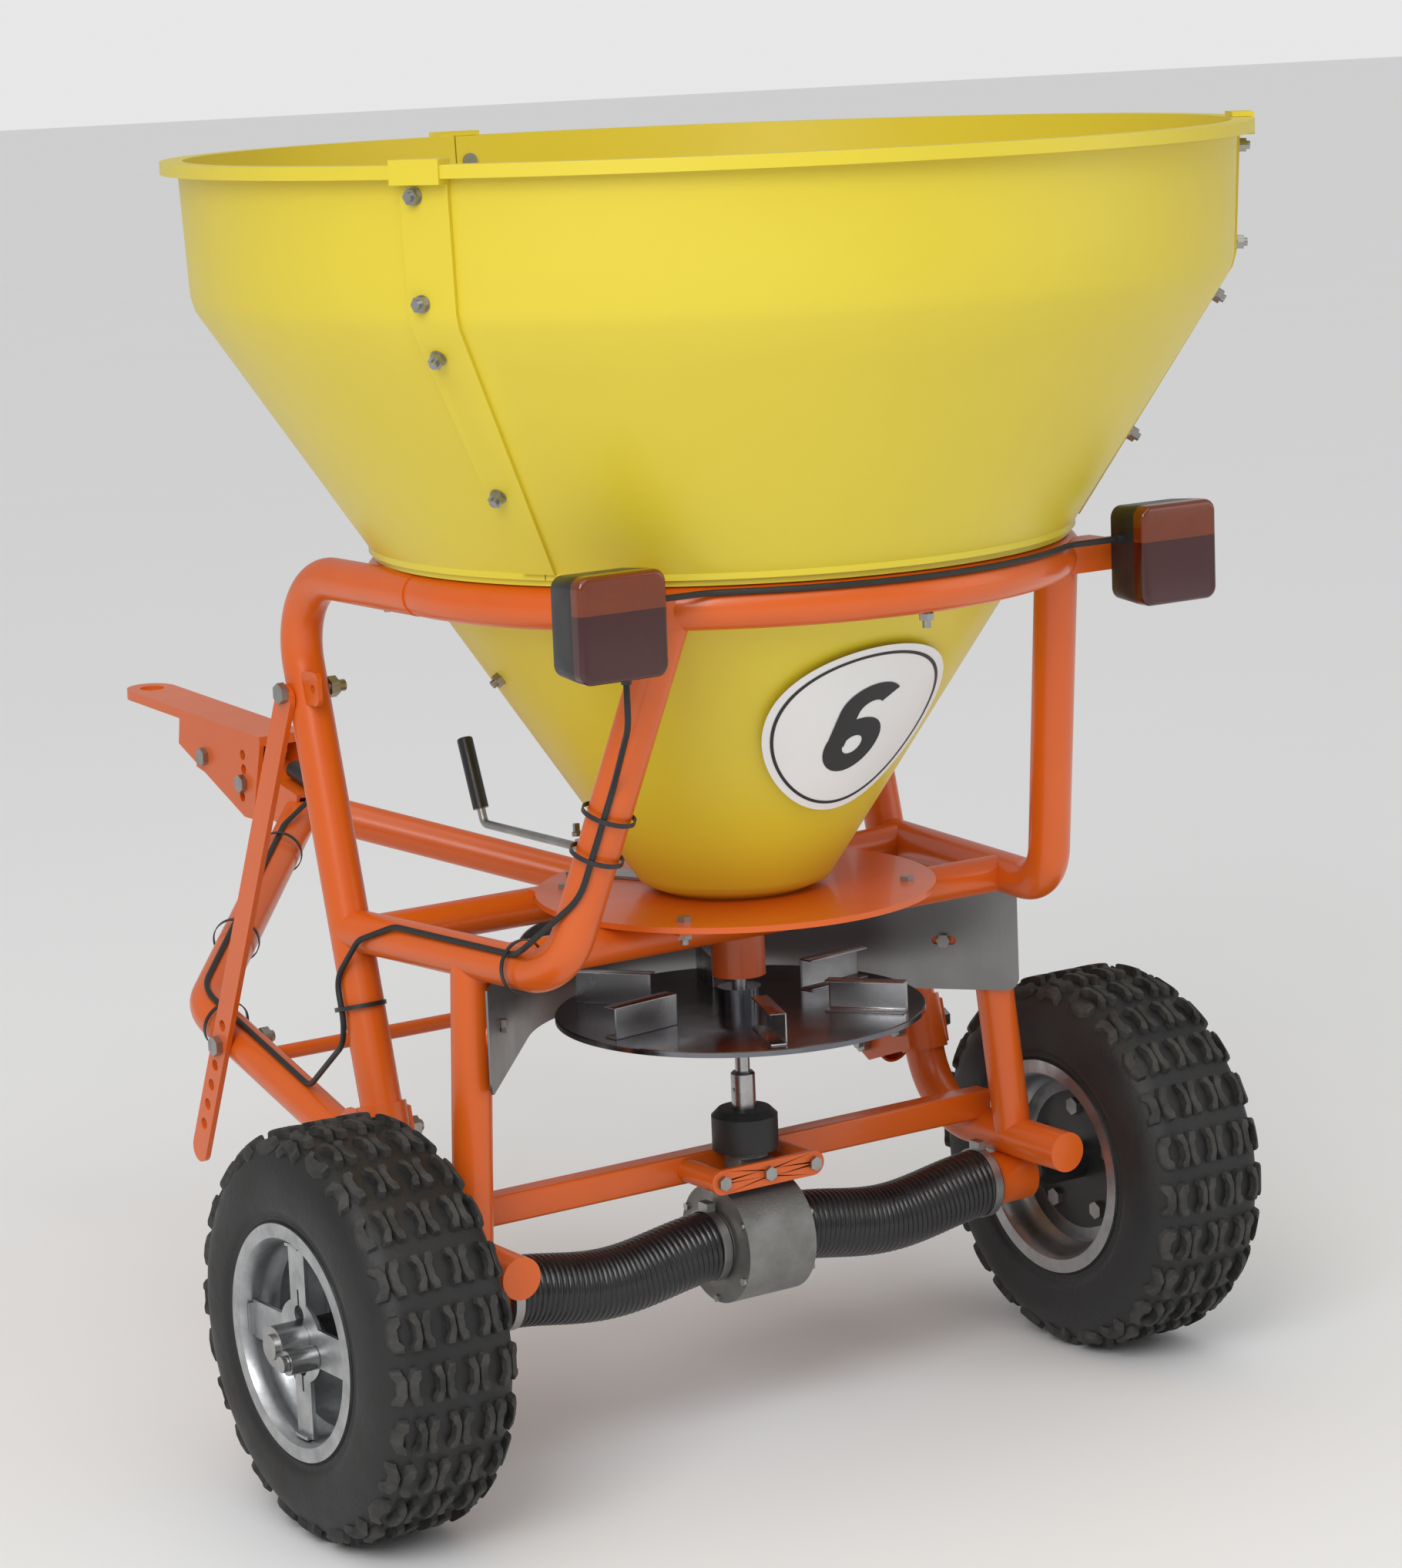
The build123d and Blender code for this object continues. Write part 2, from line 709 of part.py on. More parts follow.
# ---------------------------------------------------------------- lamp brackets and lamps
lamp_z = ring_z
lamp_back_y = lamp_y + lens_depth + lamp_depth
gland_y = lamp_back_y - lamp_depth / 2
gland_z = lamp_z - lamp_h / 2 - gland_length + gland_set
link_z = ring_z + 16
gland_side_x = -lamp_x + lamp_w / 2 + gland_length - gland_set
main_gland_x = -lamp_x + gland_shift
upright_bar = round_bar(upright_top, rail_rear, tube_d)
with BuildPart() as lamp_bracket:
    with BuildSketch(Plane.XY.offset(lamp_z - bracket_h / 2)):
        with BuildLine():
            Polyline(
                (-lamp_x - 30, lamp_back_y + face_gap),
                (-bracket_root_x, lamp_back_y + face_gap),
                (-bracket_root_x, lamp_back_y + face_gap + lug_t),
                (-lamp_x - 30, lamp_back_y + face_gap + lug_t),
                close=True,
            )
        make_face()
    extrude(amount=bracket_h)
    with BuildSketch(Plane.XY.offset(lamp_z + bracket_h / 2 - bracket_t)):
        with BuildLine():
            Polyline(
                (-lamp_x + lamp_w / 2, lamp_back_y + face_gap),
                (-bracket_root_x, lamp_back_y + face_gap),
                (-bracket_root_x, lamp_back_y + 30),
                (-lamp_x + lamp_w / 2, lamp_back_y + 30),
                close=True,
            )
        make_face()
    extrude(amount=bracket_t)
    add(ring_envelope.part, mode=Mode.SUBTRACT)
    add(upright_bar, mode=Mode.SUBTRACT)
    with BuildSketch(Plane.XZ.offset(-lamp_back_y)):
        with Locations((-lamp_x - 18, lamp_z), (-lamp_x + 18, lamp_z)):
            Circle(lamp_stud_d / 2 + hole_play)
    extrude(amount=-2 * lug_t, mode=Mode.SUBTRACT)
pair("lamp_brackets", max(lamp_bracket.part.solids(), key=lambda s: s.volume))

with BuildPart() as lamp_body:
    with BuildSketch(Plane.XZ.offset(-lamp_back_y)):
        with Locations((-lamp_x, lamp_z)):
            RectangleRounded(lamp_w - 6, lamp_h - 6, 12)
    with BuildSketch(Plane.XZ.offset(-lamp_back_y + lamp_depth)):
        with Locations((-lamp_x, lamp_z)):
            RectangleRounded(lamp_w, lamp_h, 12)
    loft()
    with BuildSketch(Plane.XZ.offset(-lamp_back_y + lamp_depth)):
        with Locations((-lamp_x, lamp_z)):
            RectangleRounded(lamp_w - 8, lamp_h - 8, 9)
    extrude(amount=-lamp_depth + 4, mode=Mode.SUBTRACT)
    # two studs through the bracket
    with BuildSketch(Plane.XZ.offset(-lamp_back_y)):
        with Locations((-lamp_x - 18, lamp_z), (-lamp_x + 18, lamp_z)):
            Circle(lamp_stud_d / 2)
    extrude(amount=-14)
    # gland on the inner side, where the cable from the other lamp enters
    with Locations(Location((gland_side_x - (gland_length + gland_set) / 2, gland_y, link_z), (0, 90, 0))):
        Cylinder(gland_d / 2, gland_length + gland_set)
with BuildPart() as lamp_bodies:
    add(lamp_body.part)
    # the left lamp also has a gland underneath for the cable to the hitch
    with Locations((main_gland_x, gland_y, gland_z + gland_length / 2)):
        Cylinder(gland_d / 2, gland_length)
    add(mirrored(lamp_body.part))
finish("lamp_bodies", lamp_bodies.part)

lens_y = lamp_back_y - lamp_depth


def lens(low, high, name):
    with BuildPart() as shell:
        with BuildSketch(Plane.XZ.offset(-lens_y)):
            with Locations((-lamp_x, lamp_z)):
                RectangleRounded(lamp_w, lamp_h, 12)
        extrude(amount=lens_depth)
        fillet(shell.edges().group_by(Axis.Y)[0], radius=5)
        with BuildSketch(Plane.XZ.offset(-lens_y)):
            with Locations((-lamp_x, lamp_z)):
                RectangleRounded(lamp_w - 6, lamp_h - 6, 9)
        extrude(amount=lens_depth - 3, mode=Mode.SUBTRACT)
        with BuildSketch(Plane.XZ.offset(-lens_y)):
            with Locations((-lamp_x, (low + high) / 2)):
                Rectangle(lamp_w + 2, high - low)
        extrude(amount=lens_depth, mode=Mode.INTERSECT)
    pair(name, shell.part)


lens(lamp_z + lens_split, lamp_z + lamp_h / 2, "amber_lenses")
lens(lamp_z - lamp_h / 2, lamp_z + lens_split, "red_lenses")

# ---------------------------------------------------------------- floor plate with bearing boss


def outlet_cutter(z, height, turn):
    """Kidney-shaped prisms of the outlets, turned by an angle."""
    with BuildPart() as cutter:
        for a in outlet_angles:
            with BuildLine() as kidney:
                CenterArc((0, 0, z), (outlet_r0 + outlet_r1) / 2, a + turn - outlet_span / 2, outlet_span)
            with BuildSketch(Plane.XY.offset(z)):
                SlotArc(kidney.edges()[0].moved(Location((0, 0, -z))), outlet_r1 - outlet_r0)
            extrude(amount=height)
    return cutter.part


with BuildPart() as base_plate:
    with BuildSketch(Plane.XY.offset(plate_z0)):
        Circle(plate_r)
        Circle(shaft_d / 2 + 1, mode=Mode.SUBTRACT)
        with GridLocations(2 * plate_bolt_x, 2 * plate_bolt_y, 2, 2):
            Circle(m8_d / 2 + hole_play, mode=Mode.SUBTRACT)
    extrude(amount=plate_t)
    with BuildSketch(Plane.XY.offset(plate_z0)):
        Circle(boss_d / 2)
        Circle(shaft_d / 2 + 1, mode=Mode.SUBTRACT)
    extrude(amount=-boss_length)
    # bearing seats at both ends of the boss
    with BuildSketch(Plane.XY.offset(plate_z0 - boss_length)):
        Circle(bearing_d / 2)
    extrude(amount=bearing_t, mode=Mode.SUBTRACT)
    with BuildSketch(Plane.XY.offset(plate_z1)):
        Circle(bearing_d / 2)
    extrude(amount=-bearing_t, mode=Mode.SUBTRACT)
    add(outlet_cutter(plate_z0 - 1, plate_t + 2, 0), mode=Mode.SUBTRACT)
finish("base_plate", base_plate.part)

# ---------------------------------------------------------------- gate with its lever
gate_z = plate_z1 + gate_play
arm_turn = math.radians(gate_arm_angle)
arm_tip = plate_r - 12


def on_arm(r, side=0.0):
    """Point at radius r on the gate's arm, side millimetres to its left."""
    return (r * math.cos(arm_turn) - side * math.sin(arm_turn),
            r * math.sin(arm_turn) + side * math.cos(arm_turn))


with BuildPart() as gate:
    with BuildSketch(Plane.XY.offset(gate_z)):
        Circle(gate_r)
        with Locations(Location((*on_arm(arm_tip / 2), 0), (0, 0, gate_arm_angle))):
            Rectangle(arm_tip, gate_arm_w)
        Circle(bearing_d / 2 + 1, mode=Mode.SUBTRACT)
    extrude(amount=gate_t)
    with Locations((*on_arm(arm_tip - 14), gate_z + (lever_lift + lever_rod_d) / 2)):
        Cylinder(post_block_d / 2, lever_lift + lever_rod_d)
    add(outlet_cutter(gate_z - 1, gate_t + 2, gate_closed_turn), mode=Mode.SUBTRACT)
lever_z = gate_z + lever_lift
lever_at = on_arm(arm_tip - 14)
rod_back = (lever_at[0], lever_at[1] - 16, lever_z)
rod_front = (lever_at[0] - 4, lever_at[1] + lever_reach, lever_z)
rod_top = (lever_at[0] - 4, lever_at[1] + lever_reach + 6, lever_z + 16)
with BuildPart() as lever_rod:
    with BuildLine() as rod_path:
        FilletPolyline(rod_back, rod_front, rod_top, radius=9)
    with BuildSketch(along(rod_back, rod_front)):
        Circle(lever_rod_d / 2)
    sweep(path=rod_path.wires()[0])
finish("lever_rod", lever_rod.part)
with BuildPart() as gate_bored:
    add(gate.part)
    add(round_bar(tuple(2 * p - q for p, q in zip(rod_back, rod_front)), rod_front, lever_rod_d + 2 * snug),
        mode=Mode.SUBTRACT)
    with BuildSketch(Plane.XY.offset(lever_z)):
        with Locations(lever_at):
            Circle(3 + running)
    extrude(amount=lever_lift, mode=Mode.SUBTRACT)
finish("gate", gate_bored.part)
grip_dir = unit(tuple(q - p for p, q in zip(rod_front, rod_top)))
grip_end = tuple(p + grip_length * q for p, q in zip(rod_top, grip_dir))
with BuildPart() as lever_grip:
    with BuildSketch(along(rod_top, grip_end)):
        Circle(grip_d / 2)
    extrude(amount=grip_length)
    fillet(lever_grip.edges().sort_by(Axis.Z)[-1], radius=3)
finish("lever_grip", lever_grip.part)

# wing bolt that clamps the rod in its block
clamp_top = gate_z + lever_lift + lever_rod_d
with BuildPart() as wing_bolt:
    with BuildSketch(Plane.XY.offset(lever_z + lever_rod_d / 2 + face_gap)):
        with Locations(lever_at):
            Circle(3)
    extrude(amount=12)
    with BuildSketch(Plane.XY.offset(clamp_top + 5)):
        with Locations(lever_at):
            SlotOverall(26, 8)
    extrude(amount=4)
    with BuildSketch(Plane.XY.offset(clamp_top + 9)):
        with Locations((lever_at[0] - 8, lever_at[1]), (lever_at[0] + 8, lever_at[1])):
            Rectangle(6, 4)
    extrude(amount=9)
finish("wing_bolt", wing_bolt.part)

# ---------------------------------------------------------------- hopper
cone_top_z = seat_z + seat_lip_t
cone_r1 = ring_r - tube_r - cone_gap + (seat_z - ring_z) * cone_slope
bowl_z = plate_z1 + bowl_rise


def cone_point(angle):
    """Place of a bolt on the lower cone's outer face, and the outward normal there."""
    z = axle_z + cone_bolt_rise
    r = bowl_r + (z - bowl_z) * (cone_r1 - bowl_r) / (seat_z - bowl_z)
    tilt = math.atan2(cone_r1 - bowl_r, seat_z - bowl_z)
    c = math.cos(math.radians(angle))
    q = math.sin(math.radians(angle))
    return (r * c, r * q, z), (math.cos(tilt) * c, math.cos(tilt) * q, -math.sin(tilt))


with BuildPart() as hopper_cone:
    with BuildSketch(Plane.XZ):
        with BuildLine():
            Polyline(
                (bowl_foot_r, plate_z1),
                (bowl_foot_r + 22, plate_z1 + 10),
                (bowl_r, bowl_z),
                (cone_r1, seat_z),
                (ring_r + seat_lip_over, seat_z),
                (ring_r + seat_lip_over, cone_top_z),
                (cone_r1 - hopper_wall * 1.2, cone_top_z),
                (bowl_r - hopper_wall * 1.2, bowl_z + 2),
                (bowl_foot_r + 17, plate_z1 + 14),
                (bowl_foot_r, plate_z1 + 6),
                close=True,
            )
        make_face()
    revolve(axis=Axis.Z)
    # slot through the foot for the gate's arm, over the whole travel
    with BuildSketch(Plane.XY.offset(plate_z1 - 1)):
        with BuildLine():
            half = math.degrees(math.asin(gate_arm_w / 2 / bowl_foot_r)) + 3
            a0 = math.radians(gate_arm_angle - gate_travel - half)
            a1 = math.radians(gate_arm_angle + half)
            r0 = bowl_foot_r - 10
            r1 = bowl_r + 20
            mid = (a0 + a1) / 2
            Line((r0 * math.cos(a0), r0 * math.sin(a0)), (r1 * math.cos(a0), r1 * math.sin(a0)))
            ThreePointArc((r1 * math.cos(a0), r1 * math.sin(a0)), (r1 * math.cos(mid), r1 * math.sin(mid)),
                          (r1 * math.cos(a1), r1 * math.sin(a1)))
            Line((r1 * math.cos(a1), r1 * math.sin(a1)), (r0 * math.cos(a1), r0 * math.sin(a1)))
            ThreePointArc((r0 * math.cos(a1), r0 * math.sin(a1)), (r0 * math.cos(mid), r0 * math.sin(mid)),
                          (r0 * math.cos(a0), r0 * math.sin(a0)))
        make_face()
    extrude(amount=gate_play + gate_t + 1 + face_gap, mode=Mode.SUBTRACT)
    with PolarLocations(ring_r, len(ring_bolt_angles), start_angle=ring_bolt_angles[0]):
        with Locations((0, 0, seat_z)):
            Cylinder(m8_d / 2 + hole_play, 4 * seat_lip_t, mode=Mode.SUBTRACT)
    for a in cone_bolt_angles:
        at, n = cone_point(a)
        add(round_bar(tuple(p - 20 * q for p, q in zip(at, n)), tuple(p + 20 * q for p, q in zip(at, n)),
                      m8_d + 2 * hole_play), mode=Mode.SUBTRACT)
finish("hopper_cone", hopper_cone.part)

# outer line of the upper hopper, from its seat to the rim
band_low_z = axle_z + band_low_rise
seat_r = ring_r + seat_lip_over + 5
skirt_z = cone_top_z


def upper_line(shift):
    """Outer line of the upper hopper, moved outwards by shift."""
    return [
        (seat_r + shift, skirt_z + 6),
        (band_low_r + shift - 4, band_low_z - 14),
        (band_low_r + shift, band_low_z),
        (band_top_r + shift, rim_z - rim_edge_t - shift),
        (band_top_r + rim_lip + shift * 0.5, rim_z - rim_edge_t - shift),
        (band_top_r + rim_lip + shift * 0.5, rim_z + shift),
    ]


def band_layer(outer, inner, a0, a1):
    """Layer over the upper hopper between two shifts, from angle a0 to a1."""
    plane = Plane.XZ.rotated((0, 0, a0))
    with BuildPart() as layer:
        with BuildSketch(plane):
            with BuildLine():
                Polyline(
                    *upper_line(outer),
                    (band_top_r - 2, rim_z + outer),
                    (band_top_r - 2, rim_z + inner),
                    *reversed(upper_line(inner)),
                    close=True,
                )
            make_face()
        revolve(axis=Axis.Z, revolution_arc=a1 - a0)
    return layer.part


def skin(z, shift):
    """Radius and outward slope of the upper hopper's outer face at height z."""
    line = upper_line(shift)
    for (r0, z0), (r1, z1) in zip(line, line[1:]):
        if z0 <= z <= z1:
            size = math.hypot(r1 - r0, z1 - z0)
            return r0 + (r1 - r0) * (z - z0) / (z1 - z0), (z1 - z0) / size, -(r1 - r0) / size
    return line[0][0], 1.0, 0.0


def skin_plane(angle, z, shift):
    r, nr, nz = skin(z, shift)
    c = math.cos(math.radians(angle))
    q = math.sin(math.radians(angle))
    return Plane(origin=(r * c, r * q, z), z_dir=(nr * c, nr * q, nz))


bolt_angles = [a - seam_back / 2 for a in seam_angles]
with BuildPart() as seam_holes:
    for a in bolt_angles:
        for rise in seam_bolt_rises:
            with BuildSketch(skin_plane(a, axle_z + rise, 0)):
                Circle(m8_d / 2 + hole_play)
            extrude(amount=20, both=True)
    with PolarLocations(ring_r, len(ring_bolt_angles), start_angle=ring_bolt_angles[0]):
        with Locations((0, 0, skirt_z)):
            Cylinder(m8_d / 2 + hole_play, 20)


def hopper_segment(name, a0, a1):
    plane = Plane.XZ.rotated((0, 0, a0 + segment_gap))
    with BuildPart() as shell:
        with BuildSketch(plane):
            with BuildLine():
                Polyline(
                    (cone_r1 - 4, skirt_z),
                    (seat_r, skirt_z),
                    *upper_line(0),
                    (band_top_r - hopper_wall, rim_z),
                    (band_low_r - hopper_wall, band_low_z),
                    (band_low_r - hopper_wall - 4, band_low_z - 14),
                    (seat_r - hopper_wall - 3, skirt_z + hopper_wall),
                    (cone_r1 - 4, skirt_z + hopper_wall),
                    close=True,
                )
            make_face()
        revolve(axis=Axis.Z, revolution_arc=a1 - a0 - 2 * segment_gap)
        # the lapped edge: a pad on this segment and a flap over the one before it
        add(band_layer(hopper_wall, -1.0, a0 + segment_gap, a0 + seam_front))
        add(band_layer(hopper_wall, seam_step, a0 - seam_back, a0 + seam_front))
        add(seam_holes.part, mode=Mode.SUBTRACT)
    finish(name, max(shell.part.solids(), key=lambda q: q.volume))


hopper_segment("hopper_left", seam_angles[0], seam_angles[1])
hopper_segment("hopper_rear", seam_angles[1], seam_angles[2])
hopper_segment("hopper_right", seam_angles[2], seam_angles[0] + 360)

with BuildPart() as hopper_bolts:
    for a in bolt_angles:
        for rise in seam_bolt_rises:
            plane = skin_plane(a, axle_z + rise, 0).offset(hopper_wall * skin(axle_z + rise, 0)[1])
            with BuildSketch(plane.offset(0.4)):
                Circle(m8_d)
            extrude(amount=1.3)
            with BuildSketch(plane.offset(1.7)):
                RegularPolygon(m8_hex / 2, 6, major_radius=False)
            extrude(amount=6.5)
            with BuildSketch(plane.offset(12)):
                Circle(m8_d / 2)
            extrude(amount=-12 - 2 * hopper_wall - 2 * hole_play)
            with BuildSketch(plane.offset(-2 * hopper_wall - 2 * hole_play)):
                Circle(m8_d)
            extrude(amount=-3.5)
    for a in ring_bolt_angles:
        x = ring_r * math.cos(math.radians(a))
        y = ring_r * math.sin(math.radians(a))
        head_z = skirt_z + hopper_wall + 0.1
        add(hex_bolt((x, y, head_z), (x, y, ring_z - tube_r - 14), m8_d, m8_hex,
                     head_z - ring_z + tube_r + 0.2))
    cone_wall_span = 1.7 * hopper_wall
    for a in cone_bolt_angles:
        at, n = cone_point(a)
        plane = Plane(origin=at, z_dir=n)
        with BuildSketch(plane.offset(0.2)):
            RegularPolygon(m8_hex / 2, 6, major_radius=False)
        extrude(amount=6.5)
        with BuildSketch(plane.offset(11)):
            Circle(m8_d / 2)
        extrude(amount=-11 - cone_wall_span)
        with BuildSketch(plane.offset(-cone_wall_span)):
            Circle(m8_d)
        extrude(amount=-3.5)

# ---------------------------------------------------------------- guard sheet
guard_a = math.radians(guard_turn)
guard_n = (math.cos(guard_a), math.sin(guard_a))
guard_d = (math.sin(guard_a), -math.cos(guard_a))
guard_low_z = axle_z + guard_low_rise
guard_top_z = axle_z + guard_top_rise


def post_at(z):
    k = (z - arm_z) / (rail_z - arm_z)
    return (-post_foot[0] + (post_foot[0] - post_top[0]) * k, post_foot_y + (post_top_y - post_foot_y) * k)


guard_r = min(guard_n[0] * post_at(z)[0] + guard_n[1] * post_at(z)[1]
              for z in (guard_low_z, guard_top_z)) - post_d / 2 - face_gap


def wing_point(r, run):
    """Point on the right wing, at distance r from the axis line and run past the bend."""
    return (r * guard_n[0] + run * guard_d[0], r * guard_n[1] + run * guard_d[1])


guard_bolt_z = axle_z + guard_bolt_rise


def guard_sketch(r):
    a = wing_point(r, guard_wing)
    b = wing_point(r, 0)
    return a, b


with BuildPart() as guard:
    with BuildSketch(Plane.XY.offset(guard_low_z)):
        with BuildLine():
            o_end, o_turn = guard_sketch(guard_r)
            i_end, i_turn = guard_sketch(guard_r - guard_t)
            Line(i_end, o_end)
            Line(o_end, o_turn)
            ThreePointArc(o_turn, (0, guard_r), (-o_turn[0], o_turn[1]))
            Line((-o_turn[0], o_turn[1]), (-o_end[0], o_end[1]))
            Line((-o_end[0], o_end[1]), (-i_end[0], i_end[1]))
            Line((-i_end[0], i_end[1]), (-i_turn[0], i_turn[1]))
            ThreePointArc((-i_turn[0], i_turn[1]), (0, guard_r - guard_t), i_turn)
            Line(i_turn, i_end)
        make_face()
    extrude(amount=guard_top_z - guard_low_z)
    ends = guard.edges().filter_by(lambda e: abs(e.length - guard_t) < 0.2 and abs(e.center().Z - guard_low_z) < 0.1)
    fillet(ends.sort_by(Axis.Y)[:2], radius=14)
    for side in (-1, 1):
        p = wing_point(guard_r, guard_bolt_run)
        with BuildSketch(Plane(origin=(side * p[0], p[1], guard_bolt_z),
                               x_dir=(side * guard_d[0], guard_d[1], 0),
                               z_dir=(side * guard_n[0], guard_n[1], 0))):
            SlotOverall(26, m8_d + 1)
        extrude(amount=6, both=True, mode=Mode.SUBTRACT)
finish("spinner_guard", guard.part)

# rear posts with the tabs that carry the guard
guard_tab_r = guard_r + cable_gap
tab_at = wing_point(guard_tab_r, guard_bolt_run + post_d / 2)
tab_plane = Plane(origin=(-tab_at[0], tab_at[1], guard_bolt_z),
                  x_dir=(-guard_d[0], guard_d[1], 0), z_dir=(-guard_n[0], guard_n[1], 0))
with BuildPart() as rear_post:
    add(post)
    with BuildSketch(tab_plane):
        SlotOverall(post_d + guard_tab_w, guard_tab_w)
    extrude(amount=lug_t)
    add(round_bar(post_top, post_foot, post_d - 2 * tube_wall), mode=Mode.SUBTRACT)
    p = wing_point(guard_r - guard_t, guard_bolt_run)
    q = wing_point(guard_r + 2 * lug_t, guard_bolt_run)
    add(round_bar((-p[0], p[1], guard_bolt_z), (-q[0], q[1], guard_bolt_z), m8_d + 2 * hole_play),
        mode=Mode.SUBTRACT)
pair("rear_posts", rear_post.part.solids().sort_by(SortBy.VOLUME)[-1])

# ---------------------------------------------------------------- turned pieces
axle_line = Axis((0, 0, axle_z), (1, 0, 0))
axle_plane = Plane(origin=(0, 0, axle_z), x_dir=(1, 0, 0), z_dir=(0, -1, 0))


def turned(points):
    """Ring about the axle from a closed outline of (x, radius)."""
    with BuildPart() as ring:
        with BuildSketch(axle_plane):
            with BuildLine():
                Polyline(*points, close=True)
            make_face()
        revolve(axis=axle_line)
    return ring.part


def spun(points):
    """Ring about the upright shaft from a closed outline of (radius, z)."""
    with BuildPart() as ring:
        with BuildSketch(Plane.XZ):
            with BuildLine():
                Polyline(*points, close=True)
            make_face()
        revolve(axis=Axis.Z)
    return ring.part


def ring_outline(x0, x1, r0, r1):
    return [(x0, r0), (x1, r0), (x1, r1), (x0, r1)]


# ---------------------------------------------------------------- gearbox
case_r = gear_case_d / 2
case_x = gear_case_width / 2 - gear_cover_t
cover_x = gear_case_width / 2
neck_top = tie_z + case_neck_d * 0.41
screw_r = case_r - gear_case_wall / 2
lug_face_y = stub_y0
shaft_bore = shaft_d / 2 + running
with BuildPart() as gearbox_case:
    add(turned(ring_outline(-case_x, case_x, case_r - gear_case_wall, case_r)))
    with BuildSketch(Plane.XY.offset(axle_z + case_r - gear_case_wall)):
        Circle(case_neck_d / 2)
    extrude(amount=neck_top - axle_z - case_r + gear_case_wall)
    with BuildSketch(Plane.XZ.offset(-lug_face_y)):
        with Locations((0, tie_z)):
            Rectangle(2 * m12_hex - 6, case_neck_d / 2)
    extrude(amount=lug_face_y)
    add(turned(ring_outline(-case_x, case_x, 0, case_r - gear_case_wall)), mode=Mode.SUBTRACT)
    with BuildSketch(Plane.XY.offset(axle_z)):
        Circle(shaft_bore)
    extrude(amount=neck_top, mode=Mode.SUBTRACT)
    with BuildSketch(Plane.XZ.offset(-lug_face_y)):
        with Locations((0, tie_z)):
            Circle(m8_d / 2 + hole_play)
    extrude(amount=-m8_d * 3, mode=Mode.SUBTRACT)
    for x in (-case_x, case_x):
        with BuildSketch(Plane.YZ.offset(x)):
            with Locations((0, axle_z)):
                with PolarLocations(screw_r, case_screw_count, start_angle=30):
                    Circle(case_screw_d / 2 + hole_play)
        extrude(amount=-math.copysign(12, x), mode=Mode.SUBTRACT)
    fillet(gearbox_case.edges().filter_by(GeomType.CIRCLE).filter_by(
        lambda e: abs(e.radius - case_neck_d / 2) < 0.1 and e.center().Z > tie_z), radius=2)
finish("gearbox_case", gearbox_case.part)

spigot_r = duct_d / 2 - duct_wall - snug
with BuildPart() as cover:
    add(turned(ring_outline(-cover_x, -case_x, axle_d / 2 + running, case_r)))
    add(turned(ring_outline(-cover_x - spigot_length, -cover_x, spigot_r - 5, spigot_r)))
    with BuildSketch(Plane.YZ.offset(-cover_x)):
        with Locations((0, axle_z)):
            with PolarLocations(screw_r, case_screw_count, start_angle=30):
                Circle(case_screw_d / 2 + hole_play)
    extrude(amount=gear_cover_t, mode=Mode.SUBTRACT)
pair("gearbox_covers", cover.part)

with BuildPart() as case_screws:
    with BuildSketch(Plane.YZ.offset(-cover_x)):
        with Locations((0, axle_z)):
            with PolarLocations(screw_r, case_screw_count, start_angle=30):
                Circle(case_screw_d / 2)
    extrude(amount=gear_cover_t + 10)
    with BuildSketch(Plane.YZ.offset(-cover_x)):
        with Locations((0, axle_z)):
            with PolarLocations(screw_r, case_screw_count, start_angle=30):
                Circle(case_screw_d * 0.75)
    extrude(amount=-case_screw_d * 0.6)
pair("gearbox_screws", case_screws.part)

with BuildPart() as link_plate:
    with BuildSketch(Plane.XZ.offset(-stub_y0)):
        with Locations((0, tie_z)):
            SlotCenterToCenter(2 * stub_x, stub_d + 2)
        with Locations((-stub_x, tie_z), (0, tie_z), (stub_x, tie_z)):
            Circle(m8_d / 2 + hole_play, mode=Mode.SUBTRACT)
    extrude(amount=lug_t + 1)
finish("link_plate", link_plate.part)

# ---------------------------------------------------------------- ducts over the axle
duct_x0 = cover_x + face_gap
duct_x1 = housing_x0 + clamp_w + 4.5
duct_x2 = (duct_x0 + duct_x1) / 2
with BuildPart() as duct:
    add(bent_tube(
        [(-duct_x0, 0, axle_z), (-duct_x0 * 2.1, 0, axle_z), (-duct_x2, 0, axle_z - duct_sag),
         (-duct_x1 + 60, 0, axle_z), (-duct_x1, 0, axle_z)],
        duct_bend_r, duct_d, duct_wall))
    # thick cuff over the bearing housing
    add(turned(ring_outline(-duct_x1, -housing_x0, housing_d / 2 + snug, duct_d / 2)))
pair("axle_ducts", duct.part)

clamp_r = duct_d / 2 + snug
with BuildPart() as duct_clamps:
    for x in (-cover_x - spigot_length / 2, -housing_x0 - clamp_w / 2 - 2):
        add(turned(ring_outline(x - clamp_w / 2, x + clamp_w / 2, clamp_r, clamp_r + clamp_t)))
        # worm screw housing
        with BuildSketch(Plane.XY.offset(axle_z + clamp_r + clamp_t / 2)):
            with Locations((x, 0)):
                Rectangle(clamp_w, 16)
        extrude(amount=9)
pair("hose_clamps", duct_clamps.part)

bearing_x = side_x
with BuildPart() as axle_bearing:
    add(turned(ring_outline(-bearing_x - axle_bearing_t / 2, -bearing_x + axle_bearing_t / 2,
                            axle_d / 2 + running, housing_d / 2 - housing_wall - snug)))
pair("axle_bearings", axle_bearing.part)

with BuildPart() as disc_bearings:
    for z in (plate_z0 - boss_length, plate_z1 - bearing_t):
        add(spun([(shaft_bore, z), (bearing_d / 2 - snug, z),
                  (bearing_d / 2 - snug, z + bearing_t), (shaft_bore, z + bearing_t)]))
finish("disc_bearings", disc_bearings.part)

